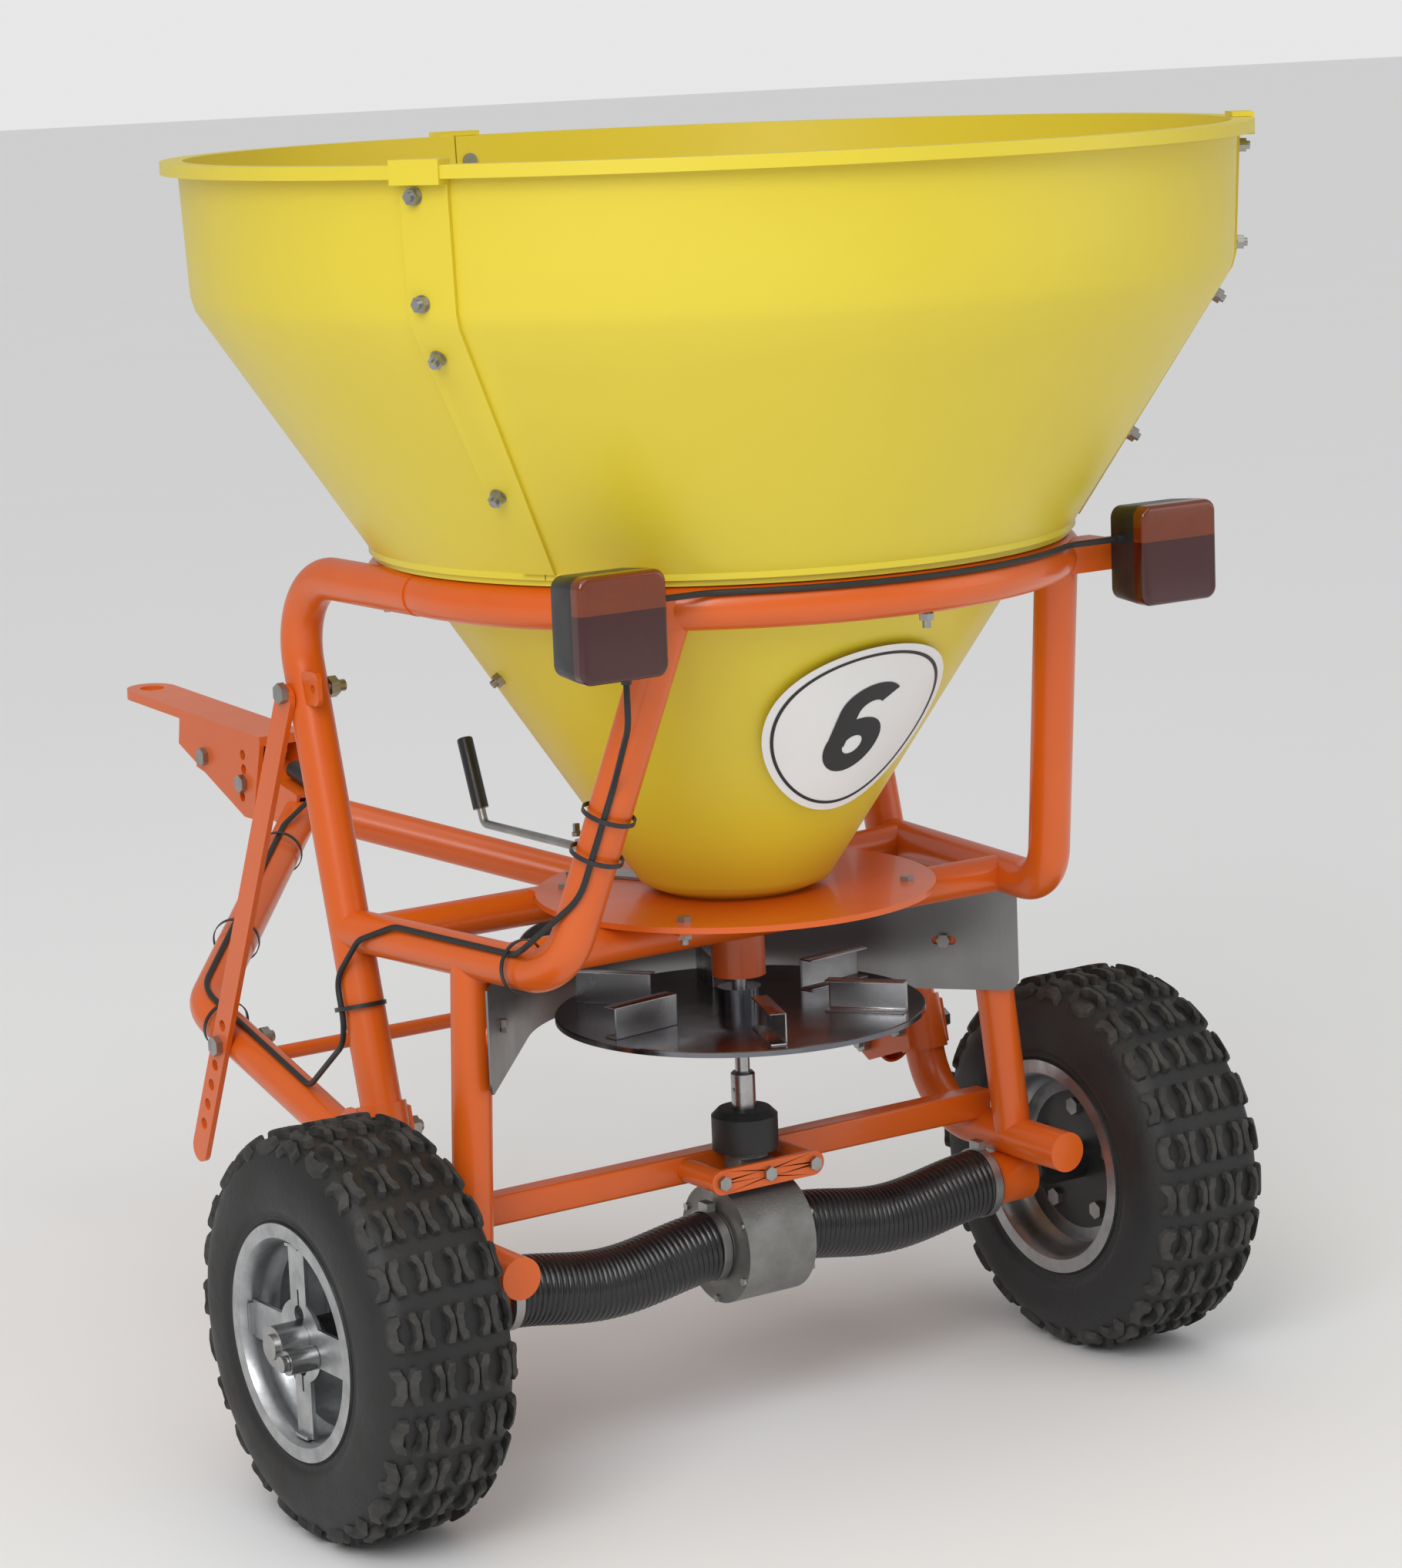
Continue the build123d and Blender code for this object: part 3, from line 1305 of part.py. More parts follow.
# ---------------------------------------------------------------- M8 bolts of the frame
with BuildPart() as m8_bolts:
    add(hopper_bolts.part)
    for x in (-plate_bolt_x, plate_bolt_x):
        for y in (-plate_bolt_y, plate_bolt_y):
            add(hex_bolt((x, y, plate_z1), (x, y, plate_z0 - plate_tab_t - 12), m8_d, m8_hex,
                         plate_t + plate_tab_t))
    for side in (-1, 1):
        head = wing_point(guard_r - guard_t, guard_bolt_run)
        tip = wing_point(guard_r + lug_t + 12, guard_bolt_run)
        add(hex_bolt((side * head[0], head[1], guard_bolt_z), (side * tip[0], tip[1], guard_bolt_z),
                     m8_d, m8_hex, guard_t + lug_t + 2 * cable_gap))
    for x in (-stub_x, 0, stub_x):
        add(hex_bolt((x, stub_y0 - lug_t - 1, tie_z), (x, stub_y0 + 20, tie_z), m8_d, m8_hex))
finish("m8_bolts", m8_bolts.part)

# ---------------------------------------------------------------- axle and crown gear
axle_x = wheel_x + axle_end_out
axle_head_x = wheel_x + hub_tube_out + face_gap
with BuildPart() as axle:
    add(turned(ring_outline(-axle_x, axle_head_x + 6, 0, axle_d / 2)))
    # head that keeps the right wheel on
    add(turned(ring_outline(axle_head_x, axle_head_x + 6, 0, axle_head_d / 2)))
finish("axle_shaft", axle.part)

addendum = gear_module * 0.8
dedendum = gear_module * 1.16
tooth_w = gear_module * 1.16
inner_scale = 1 - gear_face / math.hypot(pinion_pitch_r, crown_pitch_r)
mesh_z = axle_z + crown_pitch_r
mesh_z1 = axle_z + crown_pitch_r * inner_scale


def crown_point(shift, scale):
    """(x, radius) on the crown's pitch line moved by shift towards the pinion."""
    return ((-pinion_pitch_r + shift) * scale, crown_pitch_r * scale)


with BuildPart() as crown:
    root_out = crown_point(-dedendum, 1)
    root_in = crown_point(-dedendum, inner_scale)
    add(turned([(-24, axle_d / 2 + snug), (-24, crown_pitch_r + 0.5), (root_out[0], crown_pitch_r + 0.5),
                root_out, root_in, (root_in[0], axle_head_d / 2), (-8, axle_head_d / 2),
                (-8, axle_d / 2 + snug)]))
with BuildPart() as crown_tooth:
    for z, k in ((mesh_z, 1), (mesh_z1, inner_scale)):
        with BuildSketch(Plane.XY.offset(z)):
            with BuildLine():
                Polyline(
                    ((-pinion_pitch_r - dedendum - 1) * k, -tooth_w * 0.70 * k),
                    ((-pinion_pitch_r + addendum) * k, -tooth_w * 0.30 * k),
                    ((-pinion_pitch_r + addendum) * k, tooth_w * 0.30 * k),
                    ((-pinion_pitch_r - dedendum - 1) * k, tooth_w * 0.70 * k),
                    close=True,
                )
            make_face()
    loft()
crown_gear = crown.part
for k in range(crown_teeth):
    crown_gear = crown_gear + crown_tooth.part.rotate(axle_line, 360 / crown_teeth * k)
finish("crown_gear", crown_gear)

# ---------------------------------------------------------------- pinion, shaft, disc and agitator
back_z = mesh_z + 1.5
front_z = mesh_z1 - 1
with BuildPart() as pinion:
    root_r = pinion_pitch_r - dedendum
    add(spun([(shaft_neck_d / 2 + snug, front_z), (root_r * inner_scale, front_z),
              (root_r, mesh_z), (root_r, back_z), (shaft_neck_d / 2 + snug, back_z)]))
with BuildPart() as pinion_tooth:
    for z, k in ((mesh_z, 1), (mesh_z1, inner_scale)):
        with BuildSketch(Plane.XY.offset(z)):
            with BuildLine():
                Polyline(
                    ((pinion_pitch_r - dedendum - 1) * k, -tooth_w * 0.70 * k),
                    ((pinion_pitch_r + addendum) * k, -tooth_w * 0.30 * k),
                    ((pinion_pitch_r + addendum) * k, tooth_w * 0.30 * k),
                    ((pinion_pitch_r - dedendum - 1) * k, tooth_w * 0.70 * k),
                    close=True,
                )
            make_face()
    loft()
# a gap faces the crown, so the first tooth stands opposite it
bevel_pinion = pinion.part
for k in range(pinion_teeth):
    bevel_pinion = bevel_pinion + pinion_tooth.part.rotate(Axis.Z, 360 / pinion_teeth * k)
finish("bevel_pinion", bevel_pinion)

shaft_low = front_z - 2
neck_z = back_z + 4
shaft_high = plate_z1 + 30
cup_z = axle_z + cup_rise
sleeve_z0 = cup_z + cup_length - 12
sleeve_z1 = cup_z + shaft_sleeve_top
pin_z = sleeve_z1 - 18
shaft_fit = shaft_d / 2 + snug
cup_r = cup_d / 2


def cross_pin(length, d, z):
    return round_bar((-length / 2, 0, z), (length / 2, 0, z), d)


with BuildPart() as spinner_shaft:
    add(spun([(0, shaft_low), (shaft_neck_d / 2, shaft_low), (shaft_neck_d / 2, neck_z),
              (shaft_d / 2, neck_z), (shaft_d / 2, shaft_high), (0, shaft_high)]))
    add(cross_pin(shaft_d + 2, cross_pin_d + 2 * snug, pin_z), mode=Mode.SUBTRACT)
finish("spinner_shaft", spinner_shaft.part)

with BuildPart() as shaft_sleeve:
    add(spun([(shaft_fit, sleeve_z0), (shaft_sleeve_d / 2, sleeve_z0), (shaft_sleeve_d / 2, sleeve_z1 - 2),
              (shaft_sleeve_d / 2 - 2, sleeve_z1), (shaft_fit, sleeve_z1)]))
    add(cross_pin(shaft_sleeve_d + 2, cross_pin_d, pin_z))
finish("shaft_sleeve", shaft_sleeve.part)

with BuildPart() as coupling_cup:
    add(spun([(cup_r - cup_wall, cup_z), (cup_r, cup_z), (cup_r, cup_z + cup_length - 7),
              (cup_r - 7, cup_z + cup_length), (shaft_sleeve_d / 2 + snug, cup_z + cup_length),
              (shaft_sleeve_d / 2 + snug, cup_z + cup_length - 9),
              (cup_r - cup_wall - 4, cup_z + cup_length - 9),
              (cup_r - cup_wall, cup_z + cup_length - 14)]))
finish("coupling_cup", coupling_cup.part)

disc_hub_r = case_neck_d / 2
with BuildPart() as spinner_disc:
    add(spun([(shaft_fit, disc_z - disc_t), (disc_r - disc_edge, disc_z - disc_t),
              (disc_r - disc_edge, disc_z - disc_edge), (disc_r, disc_z - disc_edge), (disc_r, disc_z - 1),
              (disc_r - 1, disc_z), (disc_hub_r, disc_z), (disc_hub_r, disc_z + disc_hub_r),
              (shaft_fit, disc_z + disc_hub_r)]))
finish("spinner_disc", spinner_disc.part)

with BuildPart() as vanes:
    for k in range(vane_count):
        turn = math.radians(vane_turn + 360 / vane_count * k)
        out = (math.cos(turn), math.sin(turn), 0)
        plane = Plane(origin=(vane_r0 * out[0], vane_r0 * out[1], disc_z),
                      x_dir=(-out[1], out[0], 0), z_dir=out)
        with BuildSketch(plane):
            with Locations((0, vane_height / 2)):
                Rectangle(vane_depth, vane_height)
            with Locations((-vane_t, vane_height / 2)):
                Rectangle(vane_depth, vane_height - 2 * vane_t, mode=Mode.SUBTRACT)
        extrude(amount=vane_r1 - vane_r0)
finish("vanes", vanes.part)

agitator_z = plate_z1 + 20
with BuildPart() as agitator:
    add(round_bar((-agitator_span / 2, 0, agitator_z), (agitator_span / 2, 0, agitator_z), agitator_d))
    add(spun([(0, plate_z1 + 7), (shaft_sleeve_d / 2, plate_z1 + 7), (shaft_sleeve_d / 2, shaft_high + 4),
              (0, shaft_high + 4)]))
    add(round_bar((0, 0, plate_z1), (0, 0, shaft_high), shaft_d + 2 * snug), mode=Mode.SUBTRACT)
finish("agitator", agitator.part)

# ---------------------------------------------------------------- wheels
flange_r = rim_flange_d / 2
seat_radius = rim_seat_d / 2
well_r = rim_well_d / 2
rim_x = rim_width / 2
rim_half = [(0, well_r), (34, well_r), (44, seat_radius - 2.6), (66, seat_radius),
            (rim_x - rim_sheet, seat_radius + 2.4), (rim_x - rim_sheet, flange_r)]
rim_half_in = [(0, well_r - rim_sheet), (35, well_r - rim_sheet), (45, seat_radius - 5.8),
               (67.5, seat_radius - rim_sheet), (rim_x, seat_radius + 0.4), (rim_x, flange_r)]
tyre_r = tyre_od / 2
tyre_half = [(0, tyre_r), (50, tyre_r), (60, tyre_r - 3), (68, tyre_r - 14), (73, tyre_r - 32),
             (75, tyre_r - 53), (74.5, tyre_r - 72), (69.2, flange_r + 0.8), (69.2, seat_radius + 3)]
tyre_half_in = [(0, tyre_r - 3 - tyre_wall), (48, tyre_r - 3 - tyre_wall), (58, tyre_r - 9 - tyre_wall),
                (65, tyre_r - 40), (67, tyre_r - 58), (63, tyre_r - 78), (57, flange_r + 2),
                (55.5, seat_radius - 0.7), (66, seat_radius + 0.5)]


def whole(outer, inner):
    """Closed outline across a wheel from its half outlines."""
    left = [(-u, r) for u, r in reversed(outer[1:])]
    right = outer[1:]
    back = list(reversed(inner[1:]))
    return left + right + back + [(-u, r) for u, r in inner[1:]]


def at_left(points):
    return [(-wheel_x - u, r) for u, r in points]


web_in = -rim_web_shift - rim_web_t / 2
web_out = -rim_web_shift + rim_web_t / 2
hub_disc_in = web_in - hub_disc_t
hub_play = {"left": snug, "right": running}


def bolt_ring(d, thickness, u):
    """Discs on the hub's bolt circle, used as holes."""
    with BuildPart() as discs:
        with BuildSketch(Plane.YZ.offset(-wheel_x - u)):
            with Locations((0, axle_z)):
                with PolarLocations(hub_bolt_circle_d / 2, hub_bolt_count, start_angle=90):
                    Circle(d / 2)
        extrude(amount=thickness, both=True)
    return discs.part


bolt_holes = bolt_ring(hub_bolt_d + 2 * hole_play, 20, web_in)
for name in ("left", "right"):
    with BuildPart() as tyre:
        add(turned(at_left(whole(tyre_half, tyre_half_in))))
    with BuildPart() as rim:
        add(turned(at_left(whole(rim_half, rim_half_in))))
        add(turned(at_left(ring_outline(web_in, web_out, rim_web_bore_d / 2, well_r - 1))))
        add(bolt_holes, mode=Mode.SUBTRACT)
        # pressed slots round the web
        with BuildSketch(Plane.YZ.offset(-wheel_x - web_in)):
            with Locations((0, axle_z)):
                with PolarLocations((hub_disc_d / 2 + well_r) / 2, 2, start_angle=0):
                    SlotOverall(22, 8, rotation=90)
        extrude(amount=20, both=True, mode=Mode.SUBTRACT)
    bore = axle_d / 2 + hub_play[name]
    with BuildPart() as hub:
        add(turned(at_left(ring_outline(-hub_tube_in, hub_tube_out, bore, hub_tube_d / 2))))
        add(turned(at_left(ring_outline(hub_disc_in, web_in, bore, hub_disc_d / 2))))
        add(bolt_holes, mode=Mode.SUBTRACT)
    with BuildPart() as hub_bolts:
        for k in range(hub_bolt_count):
            a = math.radians(90 + 360 / hub_bolt_count * k)
            y = hub_bolt_circle_d / 2 * math.cos(a)
            z = axle_z + hub_bolt_circle_d / 2 * math.sin(a)
            add(hex_bolt((-wheel_x - hub_disc_in, y, z), (-wheel_x - web_out - 14, y, z), hub_bolt_d,
                         hub_bolt_hex, web_out - hub_disc_in))
    for label, part in (("tyre", tyre.part), ("rim", rim.part), ("hub", hub.part),
                        ("hub_bolts", hub_bolts.part)):
        finish(f"{label}_{name}", part if name == "left" else mirrored(part))

# cross on the left rim that the locking pin drives
spider_x = -wheel_x - spider_out
lock_z = axle_z - lock_drop
with BuildPart() as spider:
    with BuildSketch(Plane(origin=(spider_x, 0, axle_z), x_dir=(0, 1, 0), z_dir=(-1, 0, 0))):
        Rectangle(2 * spider_reach, spider_arm_w)
        Rectangle(spider_post_w, 2 * spider_reach)
        Circle(spider_reach * 0.42)
        Circle(spider_reach, mode=Mode.INTERSECT)
        Circle(drive_hub_d / 2 + hole_play, mode=Mode.SUBTRACT)
        with Locations((0, 26), (0, -26)):
            Circle(9, mode=Mode.SUBTRACT)
        with Locations((0, 38), (0, -38)):
            SlotOverall(26, 3, rotation=90, mode=Mode.SUBTRACT)
    extrude(amount=spider_t)
    # tabs bent outwards along the rim
    with BuildSketch(Plane(origin=(spider_x, 0, axle_z), x_dir=(0, 1, 0), z_dir=(-1, 0, 0))):
        Circle(spider_reach)
        Circle(spider_reach - 3, mode=Mode.SUBTRACT)
        with BuildSketch(mode=Mode.INTERSECT):
            Rectangle(3 * spider_reach, spider_arm_w - 6)
            Rectangle(spider_post_w - 6, 3 * spider_reach)
    extrude(amount=spider_tab)
    with BuildSketch(Plane.YZ.offset(spider_x)):
        with Locations((lock_y, lock_z)):
            Circle(lock_pin_d / 2 + cable_gap)
    extrude(amount=spider_t * 3, both=True, mode=Mode.SUBTRACT)
finish("wheel_spider", spider.part.solids().sort_by(SortBy.VOLUME)[-1])

drive_x0 = -axle_x + 4
drive_x1 = -wheel_x - hub_tube_out - face_gap
lock_x1 = spider_x - spider_t - face_gap
with BuildPart() as drive_hub:
    with BuildSketch(Plane.YZ.offset(drive_x0)):
        with Locations((0, axle_z)):
            Circle(drive_hub_d / 2)
    extrude(amount=drive_x1 - drive_x0)
    with BuildSketch(Plane.YZ.offset(drive_x0)):
        with Locations((lock_y, lock_z)):
            Circle(lock_housing_d / 2)
    extrude(amount=lock_x1 - drive_x0)
    with BuildSketch(Plane.YZ.offset(drive_x0)):
        with Locations((0, axle_z)):
            Circle(axle_d / 2 + snug)
        with Locations((lock_y, lock_z)):
            Circle(lock_pin_d / 2 + running)
    extrude(amount=drive_x1 - drive_x0, mode=Mode.SUBTRACT)
finish("drive_hub", drive_hub.part)

with BuildPart() as lock_plunger:
    pin_end = spider_x + spider_t * 0.75
    with BuildSketch(Plane.YZ.offset(drive_x0 - face_gap)):
        with Locations((lock_y, lock_z)):
            Circle(lock_pin_d / 2)
    extrude(amount=pin_end - drive_x0 + face_gap)
    with BuildSketch(Plane.YZ.offset(drive_x0 - face_gap)):
        with Locations((lock_y, lock_z)):
            Circle(lock_knob_d / 2)
    extrude(amount=-6)
finish("lock_plunger", lock_plunger.part)

# ---------------------------------------------------------------- lighting cables and ties
cable_off = tube_r + cable_d / 2 + cable_gap


def beside(a, b, t, toward, off):
    """Point at fraction t along a-b, moved off its line towards a side."""
    d = unit(tuple(q - p for p, q in zip(a, b)))
    flat = sum(p * q for p, q in zip(d, toward))
    w = unit(tuple(q - flat * p for p, q in zip(d, toward)))
    return tuple(p + (q - p) * t + off * n for p, q, n in zip(a, b, w))


left_side = (-1, 0, 0)
rear_left = (-1, -1, 0)
over_left = (-1, 0, 1)
top_side = (-0.2, 0, 1)
plug_start = tuple(p + q for p, q in zip(
    (0, head_y0 + 6, head_plane.origin.Z + 1),
    (0, -head_dir[2] * (head_h + plug_d + 1) / 2, head_dir[1] * (head_h + plug_d + 1) / 2)))
main_points = [
    (main_gland_x, gland_y, gland_z),
    (main_gland_x, gland_y, gland_z - 40),
    beside(upright_top, rail_rear, 0.46, rear_left, cable_off),
    beside(upright_top, rail_rear, 0.76, rear_left, cable_off + 2),
    (rail_rear[0] - cable_off - 7, rail_rear[1] + 12, rail_z + 31),
    beside(rail_rear, rail_front, 0.14, over_left, cable_off),
    beside(rail_rear, rail_front, 0.70, over_left, cable_off + 3),
    beside(rail_rear, rail_front, 0.85, left_side, cable_off + 3),
    (-side_x - cable_off - 1, leg_y(axle_z + 297), axle_z + 297),
    (-side_x - cable_off - 1, leg_y(axle_z + 237), axle_z + 237),
    beside(drawbar_foot, drawbar_bend, 0.32, top_side, cable_off),
    beside(drawbar_foot, drawbar_bend, 1.0, top_side, cable_off),
    beside(drawbar_bend, drawbar_apex, 0.80, (0, 0, 1), cable_off),
    (-4, plug_start[1] - 23, plug_start[2] - 5),
    plug_start,
]
main_radii = [25, 40, 60, 25, 35, 40, 30, 30, 40, 30, 80, 15, 12]
# the link cable lies on the ring over 60 degrees, and leaves it along the tangent at each end
corner_r = cable_ring_r / math.cos(math.radians(30))
link_x = cable_ring_r * math.sin(math.radians(30)) + (
    gland_y + cable_ring_r * math.cos(math.radians(30))) / math.tan(math.radians(30))
link_half = [(gland_side_x, gland_y, link_z), (-link_x, gland_y, link_z)]
link_points = link_half + [(0, -corner_r, link_z)] + [(-x, y, z) for x, y, z in reversed(link_half)]
link_radii = [40, cable_ring_r, 40]


def cord(points, radii):
    """Cable along straight runs joined by arcs; prints its length."""
    with BuildPart() as cable:
        with BuildLine() as route:
            FilletPolyline(*points, radius=radii)
        with BuildSketch(along(points[0], points[1])):
            Circle(cable_d / 2)
        sweep(path=route.wires()[0])
    wire = route.wires()[0]
    section = math.pi * cable_d ** 2 / 4
    arcs = sorted({round(e.radius, 1) for e in wire.edges().filter_by(GeomType.CIRCLE)})
    print("cable length", round(wire.length, 1), "arc radii", arcs,
          "volume over section x length", round(cable.part.volume / (section * wire.length), 4))
    return cable.part


main_cable = cord(main_points, main_radii)
link_cable = cord(link_points, link_radii)
with BuildPart() as lighting_cables:
    add(main_cable)
    add(link_cable)
finish("lighting_cables", lighting_cables.part)

with BuildPart() as hitch_plug:
    plug_end = tuple(p + plug_length * q for p, q in zip(plug_start, head_dir))
    with BuildSketch(along(plug_start, plug_end).offset(1)):
        Circle(plug_d / 2)
    extrude(amount=plug_length)
finish("hitch_plug", hitch_plug.part)

tie_r = (tube_r + cable_off + 1 + cable_d / 2) / 2 + cable_gap
tie_shift = (cable_off + 1 + cable_d / 2 - tube_r) / 2
leg_mid = (-side_x, leg_y(axle_z + 267), axle_z + 267)
tie_places = [
    (upright_top, rail_rear, 0.55, rear_left),
    (upright_top, rail_rear, 0.66, rear_left),
    (rail_rear, rail_front, 0.165, over_left),
    (leg_mid, leg_foot, 0.0, left_side),
    (drawbar_foot, drawbar_bend, 0.86, top_side),
    (drawbar_bend, drawbar_apex, 0.30, (0, 0, 1)),
    (drawbar_bend, drawbar_apex, 0.74, (0, 0, 1)),
]
with BuildPart() as cable_ties:
    for a, b, t, toward in tie_places:
        c = beside(a, b, t, toward, tie_shift)
        d = unit(tuple(q - p for p, q in zip(a, b)))
        with BuildSketch(Plane(origin=c, z_dir=d).offset(-tie_w / 2)):
            Circle(tie_r + tie_t)
            Circle(tie_r, mode=Mode.SUBTRACT)
        extrude(amount=tie_w)
finish("cable_ties", cable_ties.part)
print("pieces written", len(nodes))
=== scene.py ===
# %% [markdown]
# # A towed spreader for lawns and paths
# The frame below is the measured machine: every tube, plate and bolt is already
# in its place. What is left to make is what the eye notices: moulded rubber
# treads, ribbed ducts, lamp dishes, a number label and the finishes.

# %% the measured frame
import bpy
import json
import math
import numpy as np
from mathutils import Matrix, Vector


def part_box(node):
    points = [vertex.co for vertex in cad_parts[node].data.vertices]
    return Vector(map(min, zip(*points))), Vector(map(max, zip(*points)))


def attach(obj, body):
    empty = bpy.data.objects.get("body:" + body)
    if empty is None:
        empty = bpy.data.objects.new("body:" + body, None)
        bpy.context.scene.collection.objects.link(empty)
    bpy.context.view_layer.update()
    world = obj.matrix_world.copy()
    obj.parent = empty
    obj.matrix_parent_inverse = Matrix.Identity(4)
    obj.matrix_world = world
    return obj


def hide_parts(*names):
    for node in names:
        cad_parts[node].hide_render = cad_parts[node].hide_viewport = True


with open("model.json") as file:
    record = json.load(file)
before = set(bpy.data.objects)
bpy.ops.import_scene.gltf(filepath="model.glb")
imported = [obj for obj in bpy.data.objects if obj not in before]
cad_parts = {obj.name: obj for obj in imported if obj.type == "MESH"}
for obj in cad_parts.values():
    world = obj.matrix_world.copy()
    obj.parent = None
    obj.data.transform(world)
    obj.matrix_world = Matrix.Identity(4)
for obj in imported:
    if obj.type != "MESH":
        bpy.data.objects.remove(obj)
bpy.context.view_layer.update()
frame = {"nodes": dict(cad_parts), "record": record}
nodes = frame["nodes"]
print("frame pieces", len(nodes))

# %% [markdown]
# ## Camera
# A long lens stands behind the machine on its left, a little above the lamps.
# The lens is set from the height of its view, and the camera leans a little
# to one side, so its three axes are worked out and written as one matrix.

# %% camera
camera_azimuth = math.radians(-33.68)
camera_elevation = math.radians(10.38)
camera_roll = math.radians(-2.31)
camera_place = Vector((-2.32927, -3.44015, 1.43571))
camera_view_height = math.radians(21.1)
sensor_height = 24


def camera_axes(azimuth, elevation, roll):
    """Right, up and back: back points from the target to the camera.

    Right starts level and up stands square to both; roll turns that pair.
    """
    back = Vector((math.sin(azimuth) * math.cos(elevation),
                   -math.cos(azimuth) * math.cos(elevation),
                   math.sin(elevation)))
    right = Vector((math.cos(azimuth), math.sin(azimuth), 0))
    up = back.cross(right)
    return (math.cos(roll) * right + math.sin(roll) * up,
            math.cos(roll) * up - math.sin(roll) * right, back)


camera_data = bpy.data.cameras.new("camera")
camera_data.sensor_fit = "VERTICAL"
camera_data.sensor_height = sensor_height
camera_data.lens = sensor_height / 2 / math.tan(camera_view_height / 2)
camera = bpy.data.objects.new("camera", camera_data)
bpy.context.scene.collection.objects.link(camera)
right, up, back = camera_axes(camera_azimuth, camera_elevation, camera_roll)
camera.matrix_world = Matrix((
    (right.x, up.x, back.x, camera_place.x),
    (right.y, up.y, back.y, camera_place.y),
    (right.z, up.z, back.z, camera_place.z),
    (0, 0, 0, 1)))
bpy.context.scene.camera = camera
print("lens", round(camera_data.lens, 2), "mm")

# %% [markdown]
# ## World
# A white world fills the shadows evenly. The Light Path node tells the rays that
# leave the camera from all the others, so the backdrop can look brighter than
# the glow that lights the machine. The Standard view keeps strong colours strong:
# the softer default view would wash the orange and the yellow out.

# %% world
glow_strength = 0.42
backdrop_strength = 0.80
white = (1.0, 1.0, 1.0, 1)

world = bpy.data.worlds.new("studio")
bpy.context.scene.world = world
world.use_nodes = True
bpy.context.scene.view_settings.view_transform = "Standard"
sky = world.node_tree.nodes
join = world.node_tree.links.new
glow = sky["Background"]
backdrop = sky.new("ShaderNodeBackground")
for shade, strength in ((glow, glow_strength), (backdrop, backdrop_strength)):
    shade.inputs["Color"].default_value = white
    shade.inputs["Strength"].default_value = strength
rays = sky.new("ShaderNodeLightPath")
pick = sky.new("ShaderNodeMixShader")
join(rays.outputs["Is Camera Ray"], pick.inputs[0])
join(glow.outputs[0], pick.inputs[1])
join(backdrop.outputs[0], pick.inputs[2])
join(pick.outputs[0], sky["World Output"].inputs[0])
print("world glow", glow_strength, "backdrop", backdrop_strength)

# %% [markdown]
# ## Lights
# Paint and plastic show their shape in broad soft lights. A large panel hangs
# over the camera's left shoulder and a weaker one fills from the right. A sun
# with a very wide disc stands overhead: it reaches the rims and the hopper's
# edge, and its shadows stay soft.

# %% lights
sun_strength = 1.15
sun_disc = math.radians(70)
sun_tilt = (math.radians(22), math.radians(-14), 0)


def soft_light(name, place, target, size, power):
    """Square panel at a place, turned to face a target."""
    data = bpy.data.lights.new(name, "AREA")
    data.size = size
    data.energy = power
    light = bpy.data.objects.new(name, data)
    bpy.context.scene.collection.objects.link(light)
    light.location = place
    light.rotation_euler = (Vector(target) - Vector(place)).to_track_quat("-Z", "Y").to_euler()
    return light


soft_light("key", place=(-3.4, -2.6, 3.2), target=(0, 0, 0.7), size=2.4, power=95)
soft_light("fill", place=(3.6, -3.4, 2.0), target=(0, 0, 0.6), size=2.8, power=24)
sun_data = bpy.data.lights.new("overhead", "SUN")
sun_data.energy = sun_strength
sun_data.angle = sun_disc
sun = bpy.data.objects.new("overhead", sun_data)
bpy.context.scene.collection.objects.link(sun)
sun.rotation_euler = sun_tilt
print("lights", sorted(light.name for light in bpy.data.lights))

# %% [markdown]
# ## Pieces from arrays, and the floor
# Every new piece is an array of points and an array of faces. A surface worked
# out on a grid always has the same faces, so one helper numbers their corners,
# and another turns points and faces into an object. The floor is a pale sheet,
# made of four corners, and is the first piece made this way.

# %% helpers for pieces


def grid_faces(rows, columns, close_rows=False, close_columns=False):
    """Corner numbers of the quads of a grid of rows by columns points.

    The last row or column is joined to the first one where the grid closes.
    """
    i = np.arange(rows if close_rows else rows - 1)[:, None]
    j = np.arange(columns if close_columns else columns - 1)[None, :]
    a = i * columns + j
    b = i * columns + (j + 1) % columns
    c = ((i + 1) % rows) * columns + (j + 1) % columns
    d = ((i + 1) % rows) * columns + j
    return np.stack([a, b, c, d], -1).reshape(-1, 4)


def new_piece(name, points, faces, material=None, smooth=True):
    """Object from an array of points and an array or list of faces."""
    mesh = bpy.data.meshes.new(name)
    mesh.from_pydata(np.asarray(points, float).reshape(-1, 3).tolist(), [],
                     [list(map(int, f)) for f in faces])
    mesh.polygons.foreach_set("use_smooth", np.full(len(mesh.polygons), smooth))
    mesh.update()
    piece = bpy.data.objects.new(name, mesh)
    bpy.context.scene.collection.objects.link(piece)
    if material is not None:
        mesh.materials.append(material)
    return piece


print("a grid of 3 by 4 points has", len(grid_faces(3, 4)), "faces")

# %% floor
floor_reach = 60
floor_edge = np.array([(-1, -1, 0), (1, -1, 0), (1, 1, 0), (-1, 1, 0)]) * floor_reach
floor = new_piece("floor", floor_edge, [(0, 1, 2, 3)], smooth=False)
print("floor", 2 * floor_reach, "m square")

# %% [markdown]
# ## Effects that many finishes share
# Paint, plastic and metal all have a fine unevenness, and all vary a little in
# tone from patch to patch. Both are made once as groups with named sockets, so
# each material only chooses how coarse and how strong they are.

# %% a group with named sockets


